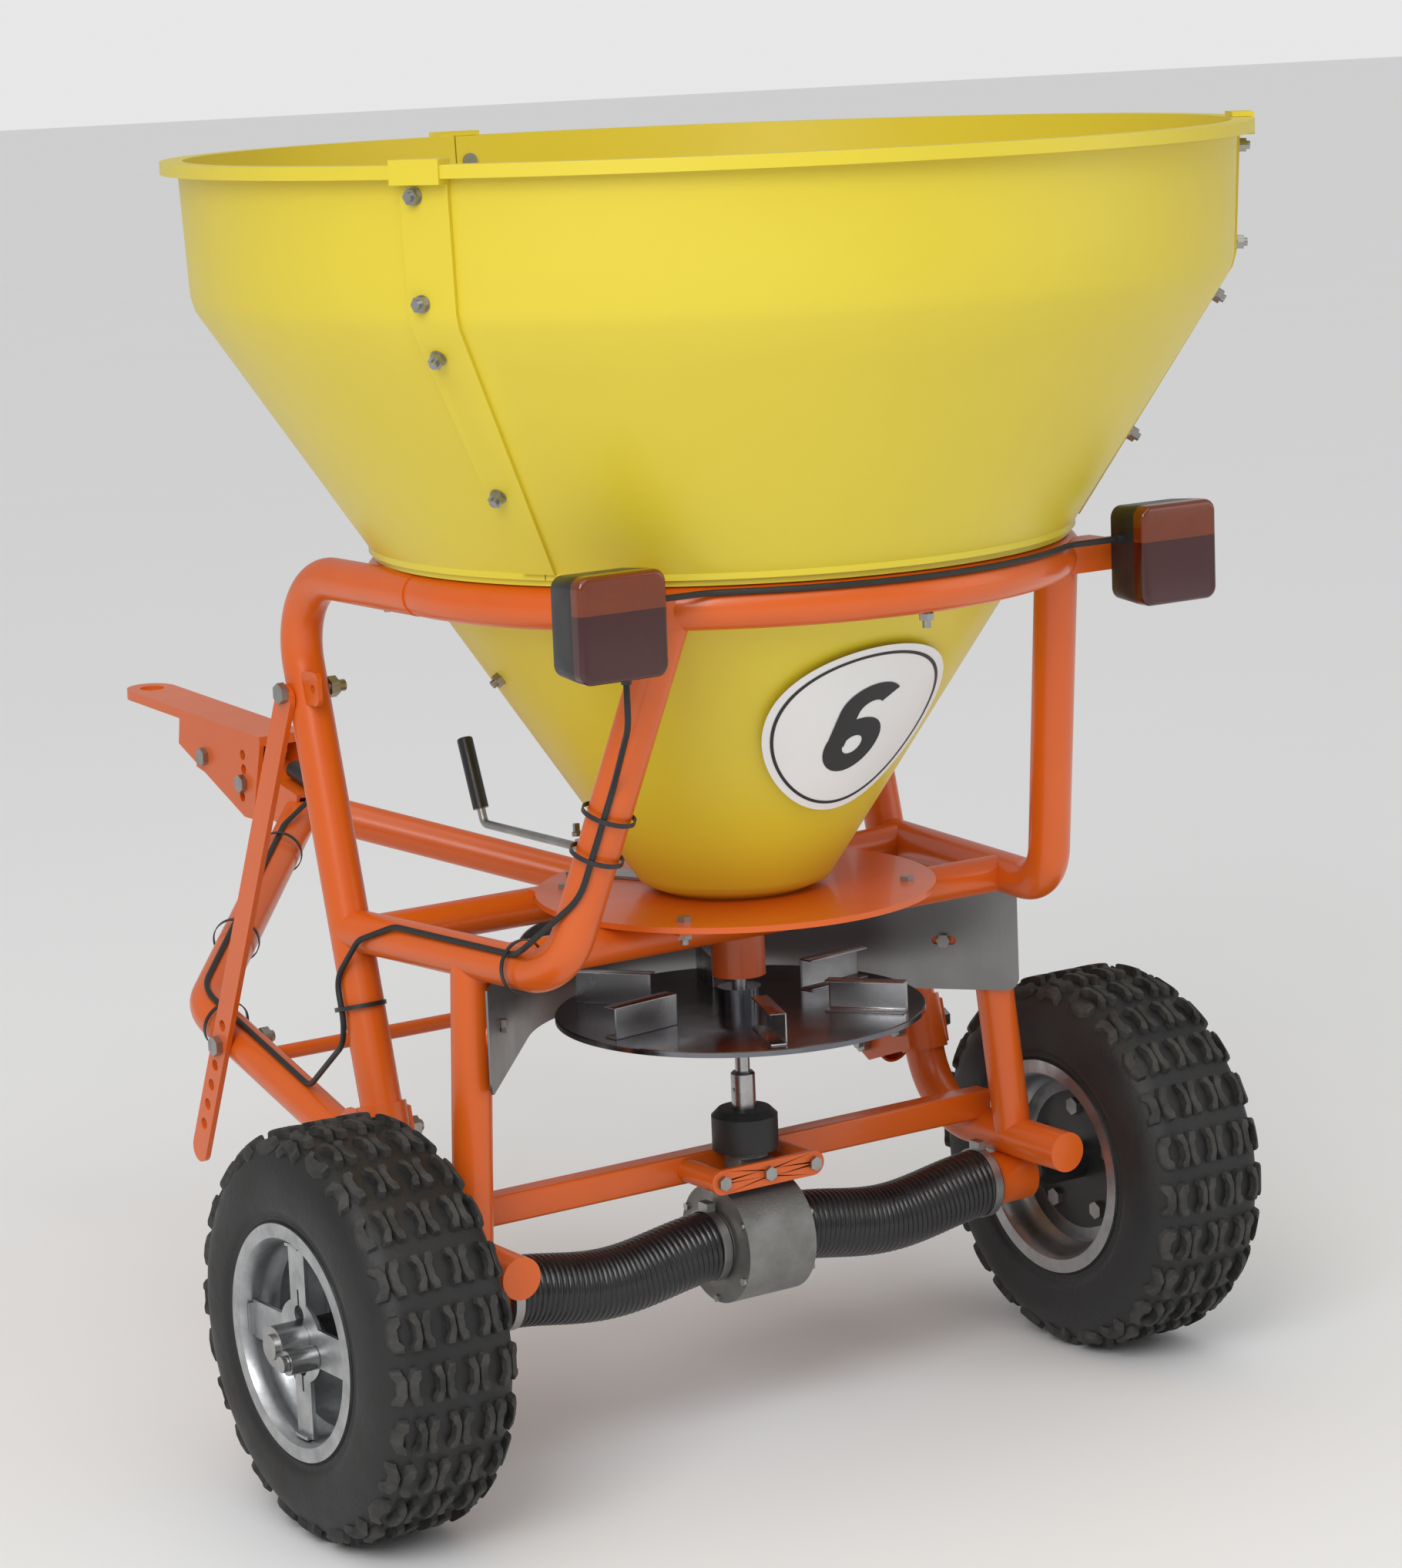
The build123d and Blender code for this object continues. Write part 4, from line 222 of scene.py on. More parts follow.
def new_group(name, inputs, outputs):
    """Node group with the named sockets; returns the group and its two ends."""
    group = bpy.data.node_groups.new(name, "ShaderNodeTree")
    for label, kind, value in inputs:
        socket = group.interface.new_socket(label, in_out="INPUT", socket_type=kind)
        socket.default_value = value
    for label, kind in outputs:
        group.interface.new_socket(label, in_out="OUTPUT", socket_type=kind)
    return group, group.nodes.new("NodeGroupInput"), group.nodes.new("NodeGroupOutput")


# %% uneven tone
patch_low, patch_high = 0.35, 0.7


def tone_group():
    """Mixes a colour with a second one by broad noise.

    The roughness it gives follows the same patches.
    """
    group, start, end = new_group("uneven_tone", [
        ("Colour", "NodeSocketColor", (0.5, 0.5, 0.5, 1)),
        ("Worn Colour", "NodeSocketColor", (0.4, 0.4, 0.4, 1)),
        ("Patch Scale", "NodeSocketFloat", 8.0),
        ("Amount", "NodeSocketFloat", 0.3),
        ("Roughness", "NodeSocketFloat", 0.4),
        ("Roughness Swing", "NodeSocketFloat", 0.1)],
        [("Colour", "NodeSocketColor"), ("Roughness", "NodeSocketFloat"),
         ("Patches", "NodeSocketFloat")])
    link = group.links.new
    place = group.nodes.new("ShaderNodeTexCoord")
    noise = group.nodes.new("ShaderNodeTexNoise")
    noise.inputs["Detail"].default_value = 6
    noise.inputs["Roughness"].default_value = 0.6
    link(place.outputs["Object"], noise.inputs["Vector"])
    link(start.outputs["Patch Scale"], noise.inputs["Scale"])
    spread = group.nodes.new("ShaderNodeMapRange")
    spread.inputs["From Min"].default_value = patch_low
    spread.inputs["From Max"].default_value = patch_high
    link(noise.outputs["Fac"], spread.inputs["Value"])
    share = group.nodes.new("ShaderNodeMath")
    share.operation = "MULTIPLY"
    link(spread.outputs["Result"], share.inputs[0])
    link(start.outputs["Amount"], share.inputs[1])
    mix = group.nodes.new("ShaderNodeMix")
    mix.data_type = "RGBA"
    link(share.outputs[0], mix.inputs["Factor"])
    link(start.outputs["Colour"], mix.inputs[6])
    link(start.outputs["Worn Colour"], mix.inputs[7])
    swing = group.nodes.new("ShaderNodeMath")
    swing.operation = "MULTIPLY_ADD"
    link(spread.outputs["Result"], swing.inputs[0])
    link(start.outputs["Roughness Swing"], swing.inputs[1])
    link(start.outputs["Roughness"], swing.inputs[2])
    link(mix.outputs[2], end.inputs["Colour"])
    link(swing.outputs[0], end.inputs["Roughness"])
    link(share.outputs[0], end.inputs["Patches"])
    return group


uneven_tone = tone_group()
print("group", uneven_tone.name)

# %% fine grain


def grain_group():
    """Height of a fine grain: noise at a scale, stretched along axes, times a strength."""
    group, start, end = new_group("fine_grain", [
        ("Scale", "NodeSocketFloat", 300.0),
        ("Stretch", "NodeSocketVector", (1, 1, 1)),
        ("Strength", "NodeSocketFloat", 1.0)],
        [("Height", "NodeSocketFloat")])
    link = group.links.new
    place = group.nodes.new("ShaderNodeTexCoord")
    pull = group.nodes.new("ShaderNodeVectorMath")
    pull.operation = "MULTIPLY"
    link(place.outputs["Object"], pull.inputs[0])
    link(start.outputs["Stretch"], pull.inputs[1])
    noise = group.nodes.new("ShaderNodeTexNoise")
    noise.inputs["Detail"].default_value = 4
    link(pull.outputs["Vector"], noise.inputs["Vector"])
    link(start.outputs["Scale"], noise.inputs["Scale"])
    rise = group.nodes.new("ShaderNodeMath")
    rise.operation = "MULTIPLY"
    link(noise.outputs["Fac"], rise.inputs[0])
    link(start.outputs["Strength"], rise.inputs[1])
    link(rise.outputs[0], end.inputs["Height"])
    return group


fine_grain = grain_group()
print("group", fine_grain.name)

# %% [markdown]
# ## One recipe for every finish
# A finish is a Principled shader with the tone group behind its colour and
# roughness, and the grain group behind a bump. What is the same all over, such
# as metal, coat or clearness, is set on the shader itself.

# %% recipe of a finish


def finish_material(name, colour, worn, roughness, swing=0.08, patch=8.0, amount=0.3,
                    grain=300.0, grain_strength=0.2, bump=0.0004, stretch=(1, 1, 1),
                    metallic=0.0, coat=0.0, transmission=0.0, coat_roughness=0.08):
    """Principled material fed by the two shared groups; constants sit on its own sockets."""
    material = bpy.data.materials.new(name)
    material.use_nodes = True
    tree = material.node_tree
    shader = tree.nodes["Principled BSDF"]
    tone = tree.nodes.new("ShaderNodeGroup")
    tone.node_tree = uneven_tone
    tone.inputs["Colour"].default_value = (*colour, 1)
    tone.inputs["Worn Colour"].default_value = (*worn, 1)
    tone.inputs["Patch Scale"].default_value = patch
    tone.inputs["Amount"].default_value = amount
    tone.inputs["Roughness"].default_value = roughness
    tone.inputs["Roughness Swing"].default_value = swing
    tree.links.new(tone.outputs["Colour"], shader.inputs["Base Color"])
    tree.links.new(tone.outputs["Roughness"], shader.inputs["Roughness"])
    height = tree.nodes.new("ShaderNodeGroup")
    height.node_tree = fine_grain
    height.inputs["Scale"].default_value = grain
    height.inputs["Stretch"].default_value = stretch
    height.inputs["Strength"].default_value = grain_strength
    relief = tree.nodes.new("ShaderNodeBump")
    relief.inputs["Distance"].default_value = bump
    tree.links.new(height.outputs["Height"], relief.inputs["Height"])
    tree.links.new(relief.outputs["Normal"], shader.inputs["Normal"])
    shader.inputs["Metallic"].default_value = metallic
    shader.inputs["Coat Weight"].default_value = coat
    shader.inputs["Coat Roughness"].default_value = coat_roughness
    shader.inputs["Transmission Weight"].default_value = transmission
    return material


floor_sheet = finish_material(
    "floor_sheet", (0.86, 0.86, 0.86), (0.83, 0.83, 0.83), 0.7, 0.05,
    patch=1.5, amount=0.4, grain=30, bump=0.0002)
floor.data.materials.append(floor_sheet)
print("first finish", floor_sheet.name)

# %% [markdown]
# ## Paint and plastic
# The tubes are powder coated orange: saturated, glossy, with the faint skin of
# an orange. The hopper is moulded polyethylene, satin and slightly wavy. The
# tyres, cuffs, cables and ducts are black, but each with its own gloss.

# %% paint and plastic
orange_paint = finish_material(
    "orange_paint", (0.72, 0.118, 0.006), (0.58, 0.085, 0.004), 0.29, 0.08,
    patch=6, amount=0.35, grain=260, grain_strength=0.25, bump=0.0005, coat=0.22)
yellow_plastic = finish_material(
    "yellow_plastic", (0.74, 0.60, 0.036), (0.68, 0.52, 0.024), 0.38, 0.06,
    patch=3, amount=0.4, grain=14, grain_strength=0.35, bump=0.0012,
    coat=0.12, coat_roughness=0.3)
tyre_rubber = finish_material(
    "tyre_rubber", (0.010, 0.010, 0.011), (0.022, 0.020, 0.018), 0.46, 0.2,
    patch=14, amount=0.6, grain=160, grain_strength=0.6, bump=0.0008)
soft_rubber = finish_material(
    "soft_rubber", (0.014, 0.014, 0.015), (0.035, 0.034, 0.032), 0.5, 0.12,
    patch=30, amount=0.4, grain=260, grain_strength=0.4, bump=0.0004)
black_plastic = finish_material(
    "black_plastic", (0.012, 0.012, 0.013), (0.03, 0.03, 0.03), 0.34, 0.12,
    patch=24, amount=0.4, grain=420, grain_strength=0.4, bump=0.0003, coat=0.1)
black_paint = finish_material(
    "black_paint", (0.010, 0.010, 0.011), (0.025, 0.024, 0.023), 0.35, 0.15,
    patch=20, amount=0.4, grain=200, coat=0.2)
duct_vinyl = finish_material(
    "duct_vinyl", (0.006, 0.006, 0.007), (0.014, 0.014, 0.015), 0.26, 0.12,
    patch=30, amount=0.5, grain=110, grain_strength=0.5, bump=0.0012, coat=0.25)
white_vinyl = finish_material(
    "white_vinyl", (0.82, 0.82, 0.81), (0.74, 0.74, 0.73), 0.32, 0.06,
    patch=10, grain=90, bump=0.0002)
black_print = finish_material(
    "black_print", (0.008, 0.008, 0.009), (0.02, 0.02, 0.02), 0.36, 0.08,
    patch=20, grain=90, bump=0.0002)
print("finishes so far", len(bpy.data.materials))

# %% [markdown]
# ## Bare metal
# The drive parts are bare: brushed stainless, dull cast aluminium and zinc. The
# spinner's disc is polished by the salt that runs over it, and its guard is a
# dull sheet. A grain stretched along one axis looks brushed or rolled.

# %% bare metal
steel = finish_material(
    "steel", (0.42, 0.42, 0.41), (0.25, 0.25, 0.24), 0.32, 0.15,
    patch=30, amount=0.6, grain=500, metallic=1.0)
stainless = finish_material(
    "stainless", (0.42, 0.42, 0.42), (0.24, 0.24, 0.25), 0.22, 0.16,
    patch=18, amount=0.6, grain=420, grain_strength=0.3, bump=0.0003,
    stretch=(1, 0.08, 1), metallic=1.0)
galvanised = finish_material(
    "galvanised", (0.50, 0.51, 0.52), (0.30, 0.31, 0.32), 0.3, 0.2,
    patch=40, amount=0.7, grain=220, grain_strength=0.3, bump=0.0004, metallic=1.0)
cast_metal = finish_material(
    "cast_metal", (0.30, 0.30, 0.29), (0.17, 0.168, 0.16), 0.46, 0.15,
    patch=22, amount=0.7, grain=380, grain_strength=0.8, bump=0.0007, metallic=0.9)
polished_disc = finish_material(
    "polished_disc", (0.20, 0.205, 0.225), (0.11, 0.11, 0.125), 0.13, 0.14,
    patch=16, amount=0.6, grain=420, grain_strength=0.3, bump=0.0002,
    stretch=(1, 0.08, 1), metallic=1.0)
dull_sheet = finish_material(
    "dull_sheet", (0.27, 0.27, 0.27), (0.19, 0.19, 0.19), 0.36, 0.12,
    patch=7, amount=0.5, grain=300, grain_strength=0.3, bump=0.0002,
    stretch=(1, 1, 0.1), metallic=1.0)
mirror_foil = finish_material(
    "mirror_foil", (0.85, 0.85, 0.84), (0.7, 0.7, 0.7), 0.08, 0.06,
    patch=40, grain=100, bump=0.0002, metallic=1.0)
print("finishes so far", len(bpy.data.materials))

# %% [markdown]
# ## Lenses
# The lamps are amber above and red below, in clear coloured acrylic. Part of the
# light goes through, so the dish behind shows, and a glossy coat gives the
# highlight of a moulded front.

# %% lenses
acrylic_ior = 1.49


def lens_material(name, colour, deep):
    """Clear coloured plastic: half of it lets light through, and a fine grain is its bump."""
    material = finish_material(name, colour, deep, 0.1, 0.05, patch=30, amount=0.5, grain=60,
                               bump=0.0004, transmission=0.45, coat=0.5)
    shader = material.node_tree.nodes["Principled BSDF"]
    shader.inputs["IOR"].default_value = acrylic_ior
    return material


amber_lens = lens_material("amber_lens", (0.30, 0.048, 0.003), (0.20, 0.028, 0.002))
red_lens = lens_material("red_lens", (0.085, 0.0015, 0.0015), (0.05, 0.001, 0.001))
print("finishes", len(bpy.data.materials))

# %% [markdown]
# ## Dressing the frame
# Each measured piece takes the finish of its material, and a few take one of
# their own. Their meshes are loose triangles, so a weld and a split at sharp
# edges let the round faces shade smoothly while the corners stay crisp.

# %% dressing the frame
weld_reach = 0.00001
crisp_angle = math.radians(32)

finish_of_slot = {
    "orange_paint": orange_paint, "yellow_plastic": yellow_plastic, "steel": steel,
    "stainless": stainless, "galvanised": galvanised, "tyre": tyre_rubber,
    "rubber": soft_rubber, "black_plastic": black_plastic, "black_paint": black_paint,
    "amber_lens": amber_lens, "red_lens": red_lens,
}
slot_of = {part["node"]: part["material_slot"] for part in frame["record"]["subparts"]}
special = {"gearbox_case": cast_metal, "gearbox_covers": cast_metal, "axle_ducts": duct_vinyl,
           "spinner_disc": polished_disc, "spinner_guard": dull_sheet}
for name, thing in nodes.items():
    chosen = special.get(name) or finish_of_slot[slot_of.get(name, "steel")]
    if not thing.material_slots:
        thing.data.materials.append(chosen)
    for place in thing.material_slots:
        place.material = chosen
    thing.data.polygons.foreach_set("use_smooth", np.ones(len(thing.data.polygons), bool))
    weld = thing.modifiers.new("weld", "WELD")
    weld.merge_threshold = weld_reach
    split = thing.modifiers.new("crisp_corners", "EDGE_SPLIT")
    split.split_angle = crisp_angle
print("slots", sorted(set(slot_of.values())), "without", sorted(set(nodes) - set(slot_of)))

# %% [markdown]
# ## Rounded bends
# Folded sheet and moulded housings have no knife edges. A bevel between the weld
# and the split rounds them, and a thin bright line of light shows where they turn.

# %% rounded bends
bend_width = {"vanes": 0.0025, "link_plate": 0.0010, "tie_bar": 0.0010, "lamp_bodies": 0.0020}
bend_steps = 3
bend_angle = math.radians(40)
for name, width in bend_width.items():
    soften = nodes[name].modifiers.new("rounded_bends", "BEVEL")
    soften.width = width
    soften.segments = bend_steps
    soften.limit_method = "ANGLE"
    soften.angle_limit = bend_angle
    nodes[name].modifiers.move(2, 1)
    print("rounded", name, "by", 1000 * width, "mm")

# %% [markdown]
# ## Tyres
# A lawn tyre has a round-shouldered carcass with separate knobs, so that it
# grips without cutting the turf. The carcass is a profile turned about the axle:
# its few corners are drawn, and a smooth line runs between them.

# %% measures of a tyre
axle_height = (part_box("tyre_left")[0].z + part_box("tyre_left")[1].z) / 2
tyre_radius = (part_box("tyre_left")[1].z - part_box("tyre_left")[0].z) / 2
knob_height = 0.0075
carcass_turns = 144
line_steps = 5
carcass_outline = [
    (-0.040, 0.1945), (0.0, 0.1955), (0.040, 0.1945), (0.058, 0.190), (0.0705, 0.174),
    (0.0749, 0.155), (0.0749, 0.137), (0.0735, 0.129), (0.0695, 0.1235), (0.0712, 0.1195),
    (0.0688, 0.1175), (0.0700, 0.1100), (0.0560, 0.1050), (0.0600, 0.1400), (0.0600, 0.1700),
    (0.0, 0.180), (-0.0600, 0.1700), (-0.0600, 0.1400), (-0.0560, 0.1050), (-0.0700, 0.1100),
    (-0.0688, 0.1175), (-0.0712, 0.1195), (-0.0695, 0.1235), (-0.0735, 0.129),
    (-0.0749, 0.137), (-0.0749, 0.155), (-0.0705, 0.174), (-0.058, 0.190)]
print("tyre radius", round(tyre_radius, 4), "m, axle at", round(axle_height, 4), "m")

# %% carcass


def turned_about_axle(name, centre_x, across, radius, turns, material):
    """Closed profile (across, radius) turned about the axle's line at a wheel's middle."""
    angle = np.linspace(0, 2 * np.pi, turns, endpoint=False)[:, None]
    points = np.stack([np.broadcast_to(centre_x + across, (turns, len(across))),
                       radius * np.cos(angle), axle_height + radius * np.sin(angle)], -1)
    faces = grid_faces(turns, len(across), True, True)[:, ::-1]
    return new_piece(name, points, faces, material)


def rounded_line(corners, steps):
    """Smooth closed line of points: a quadratic curve for every corner of a polygon.

    It runs from the middle of one side to the middle of the next, drawn towards
    the corner between them: (1 - t) squared of the first middle, 2 t (1 - t) of
    the corner and t squared of the second middle.
    """
    p = np.asarray(corners, float)
    after = np.roll(p, -1, axis=0)
    before = np.roll(p, 1, axis=0)
    t = np.linspace(0, 1, steps, endpoint=False)[None, :, None]
    start = ((p + before) / 2)[:, None, :]
    end = ((p + after) / 2)[:, None, :]
    curve = (1 - t) ** 2 * start + 2 * t * (1 - t) * p[:, None, :] + t ** 2 * end
    return curve.reshape(-1, 2)


outline = rounded_line(carcass_outline, line_steps)
print("carcass profile", len(outline), "points")

# %% [markdown]
# ## Tread
# The knobs stand in pairs, back to back like an X, and each row is set half a
# pair to the side of the one before. One knob is a small outline with a chamfer,
# and all the knobs of a tyre are laid on the carcass in one step: their feet
# follow its radius, and the outer ones lean with its shoulder.

# %% measures of the tread
knob_outline = np.array([
    (-4.6, -17.5), (1.8, -17.5), (5.2, -7.5), (5.2, 7.5), (1.8, 17.5), (-4.6, 17.5),
    (-4.9, 12.5), (-1.4, 7.0), (-1.4, -7.0), (-4.9, -12.5)]) / 1000
knob_rows = 24
pair_pitch = 0.0365
pair_half_gap = 0.0062
side_knob_across = 0.0595
knob_reach = 0.0748
knob_sink = 0.0040
knob_chamfer = 0.0012
knob_ring_scale = (1.16, 1.0, 0.84)
crown_half_width = 0.040
shoulder_width = 0.034
shoulder_drop = 0.030
shoulder_power = 2.2
lean_from = 0.050
lean_over = 0.030
lean_share = 0.6
print("knob", 1000 * knob_height, "mm high in", knob_rows, "rows")

# %% tread


def carcass_radius(across):
    """Radius under the knobs: flat in the middle, falling round the shoulder by a power."""
    bend = np.clip((np.abs(across) - crown_half_width) / shoulder_width, 0, 1)
    return tyre_radius - knob_height - shoulder_drop * bend ** shoulder_power


def tread_places():
    """Centre across, angle and mirror of every knob, in rows half a pitch apart."""
    even = np.array([-1.5, -0.5, 0.5, 1.5]) * pair_pitch
    odd = np.array([-1.0, 0.0, 1.0]) * pair_pitch
    places = []
    for k in range(knob_rows):
        angle = 2 * np.pi * k / knob_rows
        for middle in (even if k % 2 == 0 else odd):
            for side in (-1, 1):
                places.append((middle + side * pair_half_gap, angle, side))
        if k % 2:
            for side in (-1, 1):
                places.append((side * side_knob_across, angle, -side))
    return np.array(places)


def knob_faces(count, sides, mirrored):
    """Side quads, tops and feet of knobs that have three rings of points each.

    A mirrored knob has its corners the other way round, so its faces are turned.
    """
    ring = np.arange(sides)
    after = (ring + 1) % sides
    rings = [np.stack([low + ring, low + after, low + sides + after, low + sides + ring], -1)
             for low in (0, sides)]
    side_faces = np.concatenate(rings)
    start = np.arange(count)[:, None, None] * 3 * sides
    walls = (start + side_faces[None]).reshape(-1, 4)
    top = start[:, 0] + 2 * sides + ring[None]
    foot = start[:, 0] + ring[::-1][None]
    mirrored_walls = np.repeat(mirrored, len(side_faces))
    walls[mirrored_walls] = walls[mirrored_walls][:, ::-1]
    top[mirrored] = top[mirrored][:, ::-1]
    foot[mirrored] = foot[mirrored][:, ::-1]
    return walls.tolist() + top.tolist() + foot.tolist()


def tread(name, centre_x, material):
    """Knobs as three rings of one outline: at the carcass, below the top and on the top.

    Along the tread an outline's length becomes an angle: length over tyre radius.
    """
    spots = tread_places()
    middle, turned, mirror = (spots[:, k, None, None] for k in range(3))
    ring_scale = np.array(knob_ring_scale)[None, :, None]
    ring_rise = np.array([-knob_sink, knob_height - knob_chamfer, knob_height])[None, :, None]
    across = middle - mirror * knob_outline[None, None, :, 0] * ring_scale
    along = knob_outline[None, None, :, 1] * ring_scale + 0 * across
    radius = carcass_radius(across) + ring_rise
    lean = np.clip((np.abs(across) - lean_from) / lean_over, 0, 1)
    across = across + np.sign(across) * ring_rise * lean * lean_share
    across = np.clip(across, -knob_reach, knob_reach)
    angle = turned + along / tyre_radius
    points = np.stack([centre_x + across, radius * np.cos(angle),
                       axle_height + radius * np.sin(angle)], -1)
    faces = knob_faces(len(spots), len(knob_outline), spots[:, 2] < 0)
    return new_piece(name, points, faces, material, smooth=False)


print("knobs on a tyre", len(tread_places()))

# %% both tyres
knob_tops = finish_material(
    "knob_tops", (0.014, 0.014, 0.014), (0.075, 0.072, 0.066), 0.66, 0.15,
    patch=45, amount=0.75, grain=300, grain_strength=0.8, bump=0.0006)
for side in ("left", "right"):
    low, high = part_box("tyre_" + side)
    middle = (low.x + high.x) / 2
    carcass = turned_about_axle("carcass_" + side, middle, outline[:, 0], outline[:, 1],
                                carcass_turns, tyre_rubber)
    knobs = tread("knobs_" + side, middle, knob_tops)
    for piece in (carcass, knobs):
        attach(piece, side + "_wheel")
    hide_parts("tyre_" + side)
    print(side, "tyre", len(carcass.data.polygons), "carcass faces,",
          len(knobs.data.polygons), "knob faces")

# %% [markdown]
# ## Ducts over the axle
# Vinyl hose with a wire helix covers the turning axle from the gear case to
# each wheel. It sags a little between its two cuffs. A circle is carried along
# the sagging line, and its radius swells at every turn of the wire. A lining
# follows the same line on the inside, so the hose has a wall.

# %% measures of a duct
rib_pitch = 0.0062
rib_depth = 0.0020
steps_per_rib = 8
duct_radius = 0.0359
duct_lining_radius = duct_radius - 0.0042
duct_sag = 0.0145
duct_sides = 72
lining_steps = 25
crease_depth = 0.010
duct_inner_end = 0.0418
duct_outer_end = 0.3040
print("ribs on a duct", int((duct_outer_end - duct_inner_end) / rib_pitch))

# %% ribbed ducts


def ribbed_duct(name, x0, x1, material):
    """Circle carried along a line that dips by a sine squared, square to the line.

    Its radius is a rounded wave of the rib pitch, and is pressed in a little in
    the valleys, three times round, where the vinyl creases.
    """
    steps = int(abs(x1 - x0) / rib_pitch) * steps_per_rib + 1
    t = np.linspace(0, 1, steps)
    x = x0 + (x1 - x0) * t
    z = axle_height - duct_sag * np.sin(np.pi * t) ** 2
    slope = np.gradient(z, x)
    size = np.sqrt(1 + slope ** 2)
    wave = np.abs(np.sin(np.pi * (x - x0) / rib_pitch))
    radius = duct_radius - rib_depth * (1 - wave ** 0.6)
    angle = np.linspace(0, 2 * np.pi, duct_sides, endpoint=False)[None, :]
    valley = 1 - wave[:, None]
    crease = 1 - crease_depth * np.sin(3 * angle + 40 * t[:, None]) ** 6 * valley
    reach = radius[:, None] * crease
    outer = np.stack([x[:, None] - reach * np.cos(angle) * (slope / size)[:, None],
                      reach * np.sin(angle) + 0 * x[:, None],
                      z[:, None] + reach * np.cos(angle) / size[:, None]], -1)
    back = np.linspace(1, 0, lining_steps)[:, None]
    lining = duct_lining_radius
    inner = np.stack([
        x0 + (x1 - x0) * back + 0 * angle, lining * np.sin(angle) + 0 * back,
        axle_height - duct_sag * np.sin(np.pi * back) ** 2 + lining * np.cos(angle)], -1)
    points = np.concatenate([outer, inner])
    faces = grid_faces(len(points), duct_sides, True, True)
    if x1 > x0:
        faces = faces[:, ::-1]
    return new_piece(name, points, faces, material)


for side, sign in (("left", -1), ("right", 1)):
    duct = ribbed_duct("duct_" + side, sign * duct_inner_end, sign * duct_outer_end, duct_vinyl)
    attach(duct, "frame")
    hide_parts("axle_ducts")
    print("duct", side, len(duct.data.polygons), "faces")

# %% [markdown]
# ## Number label on the hopper
# The lower cone carries a round vinyl label with a black ring and a plain 6, so
# that machines of a fleet can be told apart. Vinyl follows the surface, so the
# flat drawing is rolled round the cone by a formula, a fraction of a millimetre
# above the plastic.

# %% a flat drawing on the cone
label_height = 0.757
label_cone_radius = 0.2215
cone_top_radius, cone_foot_radius = 0.306, 0.112
cone_top_height, cone_foot_height = 0.9212, 0.6105
cone_tilt = math.atan2(cone_top_radius - cone_foot_radius, cone_top_height - cone_foot_height)
cone_low, cone_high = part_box("hopper_cone")


def rolled_on_cone(across, rise, lift):
    """Flat point (across, rise) rolled round the cone at the machine's back.

    Across becomes a turn, across over radius; rise goes up the slope of the
    cone, and lift moves the point off the plastic along its normal.
    """
    radius = label_cone_radius + rise * math.sin(cone_tilt) + lift * math.cos(cone_tilt)
    turn = -math.pi / 2 + across / label_cone_radius
    height = label_height + rise * math.cos(cone_tilt) - lift * math.sin(cone_tilt)
    return np.stack([radius * np.cos(turn), radius * np.sin(turn), height + 0 * turn], -1)


print("cone tilt", round(math.degrees(cone_tilt), 1), "degrees, label at", label_height,
      "between", round(cone_low.z, 3), "and", round(cone_high.z, 3))

# %% rings and strokes
ring_rows, ring_turns = 9, 96
stroke_rows = 7


def ring_on_cone(name, inner, outer, lift, material, centre=(0, 0), squeeze=1.0, lean=0.0):
    """Ring between two radii, squeezed across and leaning, on a grid of radius by angle."""
    share = np.linspace(0, 1, ring_rows)[:, None]
    angle = np.linspace(0, 2 * np.pi, ring_turns + 1)[:-1][None, :]
    radius = inner + (outer - inner) * share
    rise = centre[1] + radius * np.sin(angle)
    across = centre[0] + squeeze * radius * np.cos(angle) + lean * (rise - centre[1])
    points = rolled_on_cone(across, rise, lift)
    return new_piece(name, points, grid_faces(ring_rows, ring_turns, False, True), material)


def stroke_on_cone(name, line, width, lift, material):
    """Pen stroke: a line, offset to both sides by half its width, on a grid."""
    line = np.asarray(line, float)
    run = np.gradient(line, axis=0)
    run = run / np.linalg.norm(run, axis=1, keepdims=True)
    side = np.stack([-run[:, 1], run[:, 0]], -1)
    share = np.linspace(-0.5, 0.5, stroke_rows)[None, :, None]
    flat = line[:, None, :] + side[:, None, :] * share * np.asarray(width)[:, None, None]
    return new_piece(name, rolled_on_cone(flat[..., 0], flat[..., 1], lift),
                     grid_faces(len(line), stroke_rows)[:, ::-1], material)


label = ring_on_cone("label_sheet", 0.0005, 0.1015, 0.0006, white_vinyl)
label_ring = ring_on_cone("label_ring", 0.0900, 0.0935, 0.0009, black_print)
print("label", len(label.data.polygons), "faces, ring", len(label_ring.data.polygons))

# %% [markdown]
# ## The 6
# The figure is a leaning ring for the bowl, and one stroke for the stem, which
# rises straight from the bowl's left side and ends in an arch. Each lies a
# little higher than the one below, so no two surfaces share a place.

# %% the 6
six_scale = 1.80
six_lean = 0.13
stem_width = 0.0118
stem_foot_rise = -0.0110
arch_steps, foot_steps = 40, 12


def six_points(across, rise):
    """Point of the drawing of the 6, scaled up and leaning a little to the right."""
    return np.stack([six_scale * (across + six_lean * rise), six_scale * rise], -1)


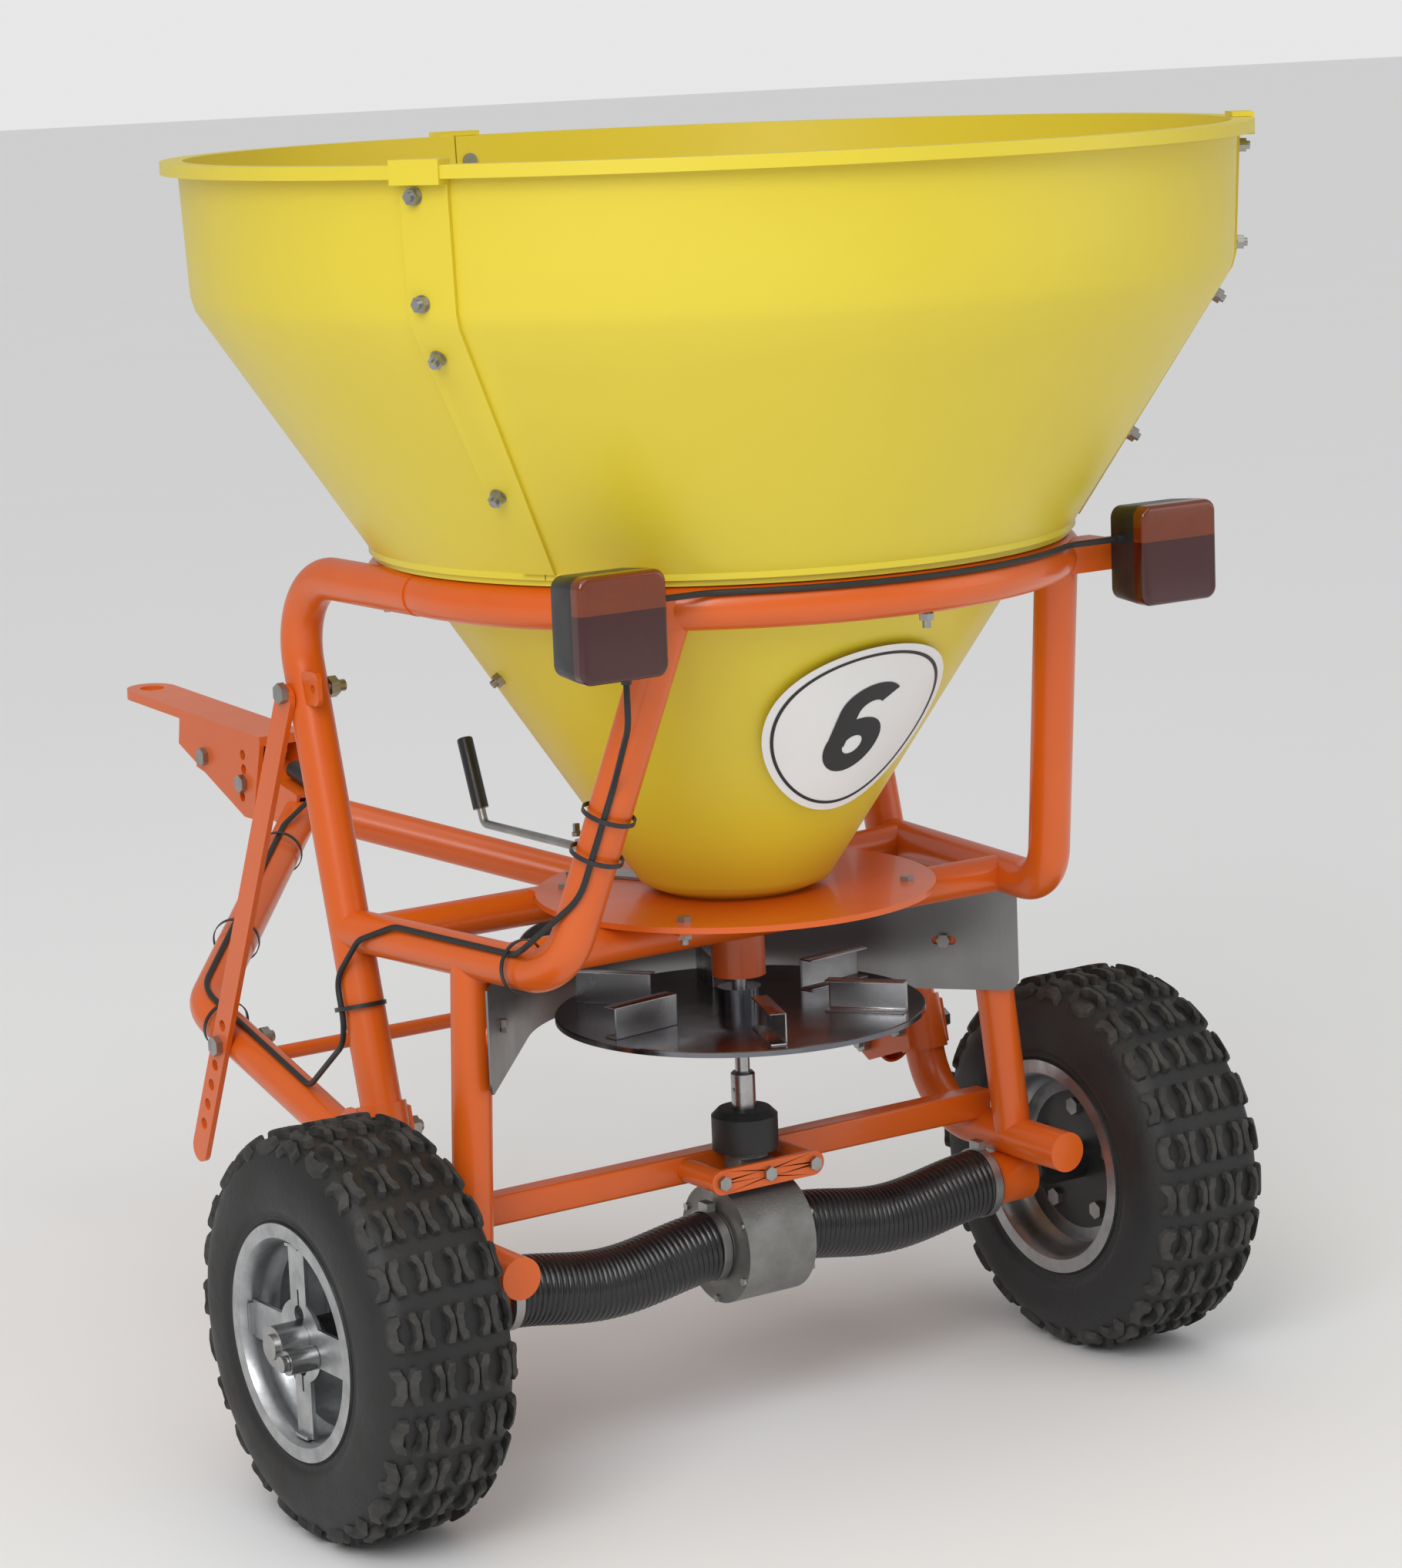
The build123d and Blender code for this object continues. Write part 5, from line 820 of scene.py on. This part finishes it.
bowl = ring_on_cone("six_bowl", 0.0062 * six_scale, 0.0182 * six_scale, 0.0010, black_print,
                    centre=(-0.0014 * six_scale, -0.0108 * six_scale), squeeze=0.98, lean=six_lean)
turn = np.linspace(math.radians(180), math.radians(48), arch_steps)
arch = np.stack([0.0012 + 0.0125 * np.cos(turn), 0.0118 + 0.0130 * np.sin(turn)], -1)
foot = np.stack([np.full(foot_steps, arch[0, 0]),
                 np.linspace(stem_foot_rise, arch[0, 1], foot_steps)], -1)[:-1]
stem_line = np.concatenate([foot, arch])
stem_path = six_points(stem_line[:, 0], stem_line[:, 1])
stem = stroke_on_cone("six_stem", stem_path, np.full(len(stem_path), stem_width * six_scale),
                      0.0012, black_print)
label_pieces = (label, label_ring, bowl, stem)
for piece in label_pieces:
    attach(piece, "frame")
print("label pieces", [piece.name for piece in label_pieces])

# %% [markdown]
# ## Inside the lamps
# Behind the coloured shells sit bright dishes, and their rings show through the
# lens. Each dish is a parabola turned about the lamp's axis: its depth grows
# with the square of the distance from that axis.

# %% lamp dishes
lamp_centres = [(-0.323, 0.900), (0.323, 0.900)]
dish_kinds = (("amber", 0.030, 0.013), ("red", -0.016, 0.024))  # colour, rise, radius
dish_behind_lens = 0.0136
dish_depth = 0.008
dish_rows, dish_turns = 14, 48
dish_hole_share = 0.02
lens_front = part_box("red_lenses")[0].y


def dish(name, centre, depth_y, radius, depth, material):
    """Parabola turned about a line along the machine, on a grid of distance by angle."""
    share = np.linspace(dish_hole_share, 1, dish_rows)[:, None]
    angle = np.linspace(0, 2 * np.pi, dish_turns, endpoint=False)[None, :]
    rim = radius * share
    points = np.stack([centre[0] + rim * np.cos(angle),
                       depth_y - depth * share ** 2 + 0 * angle,
                       centre[1] + rim * np.sin(angle)], -1)
    return new_piece(name, points, grid_faces(dish_rows, dish_turns, False, True), material)


for k, (x, z) in enumerate(lamp_centres):
    for part, rise, radius in dish_kinds:
        reflector = dish(f"lamp_{part}_dish_{k}", (x, z + rise), lens_front + dish_behind_lens,
                         radius, dish_depth, mirror_foil)
        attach(reflector, "frame")
        print(reflector.name, len(reflector.data.polygons), "faces")
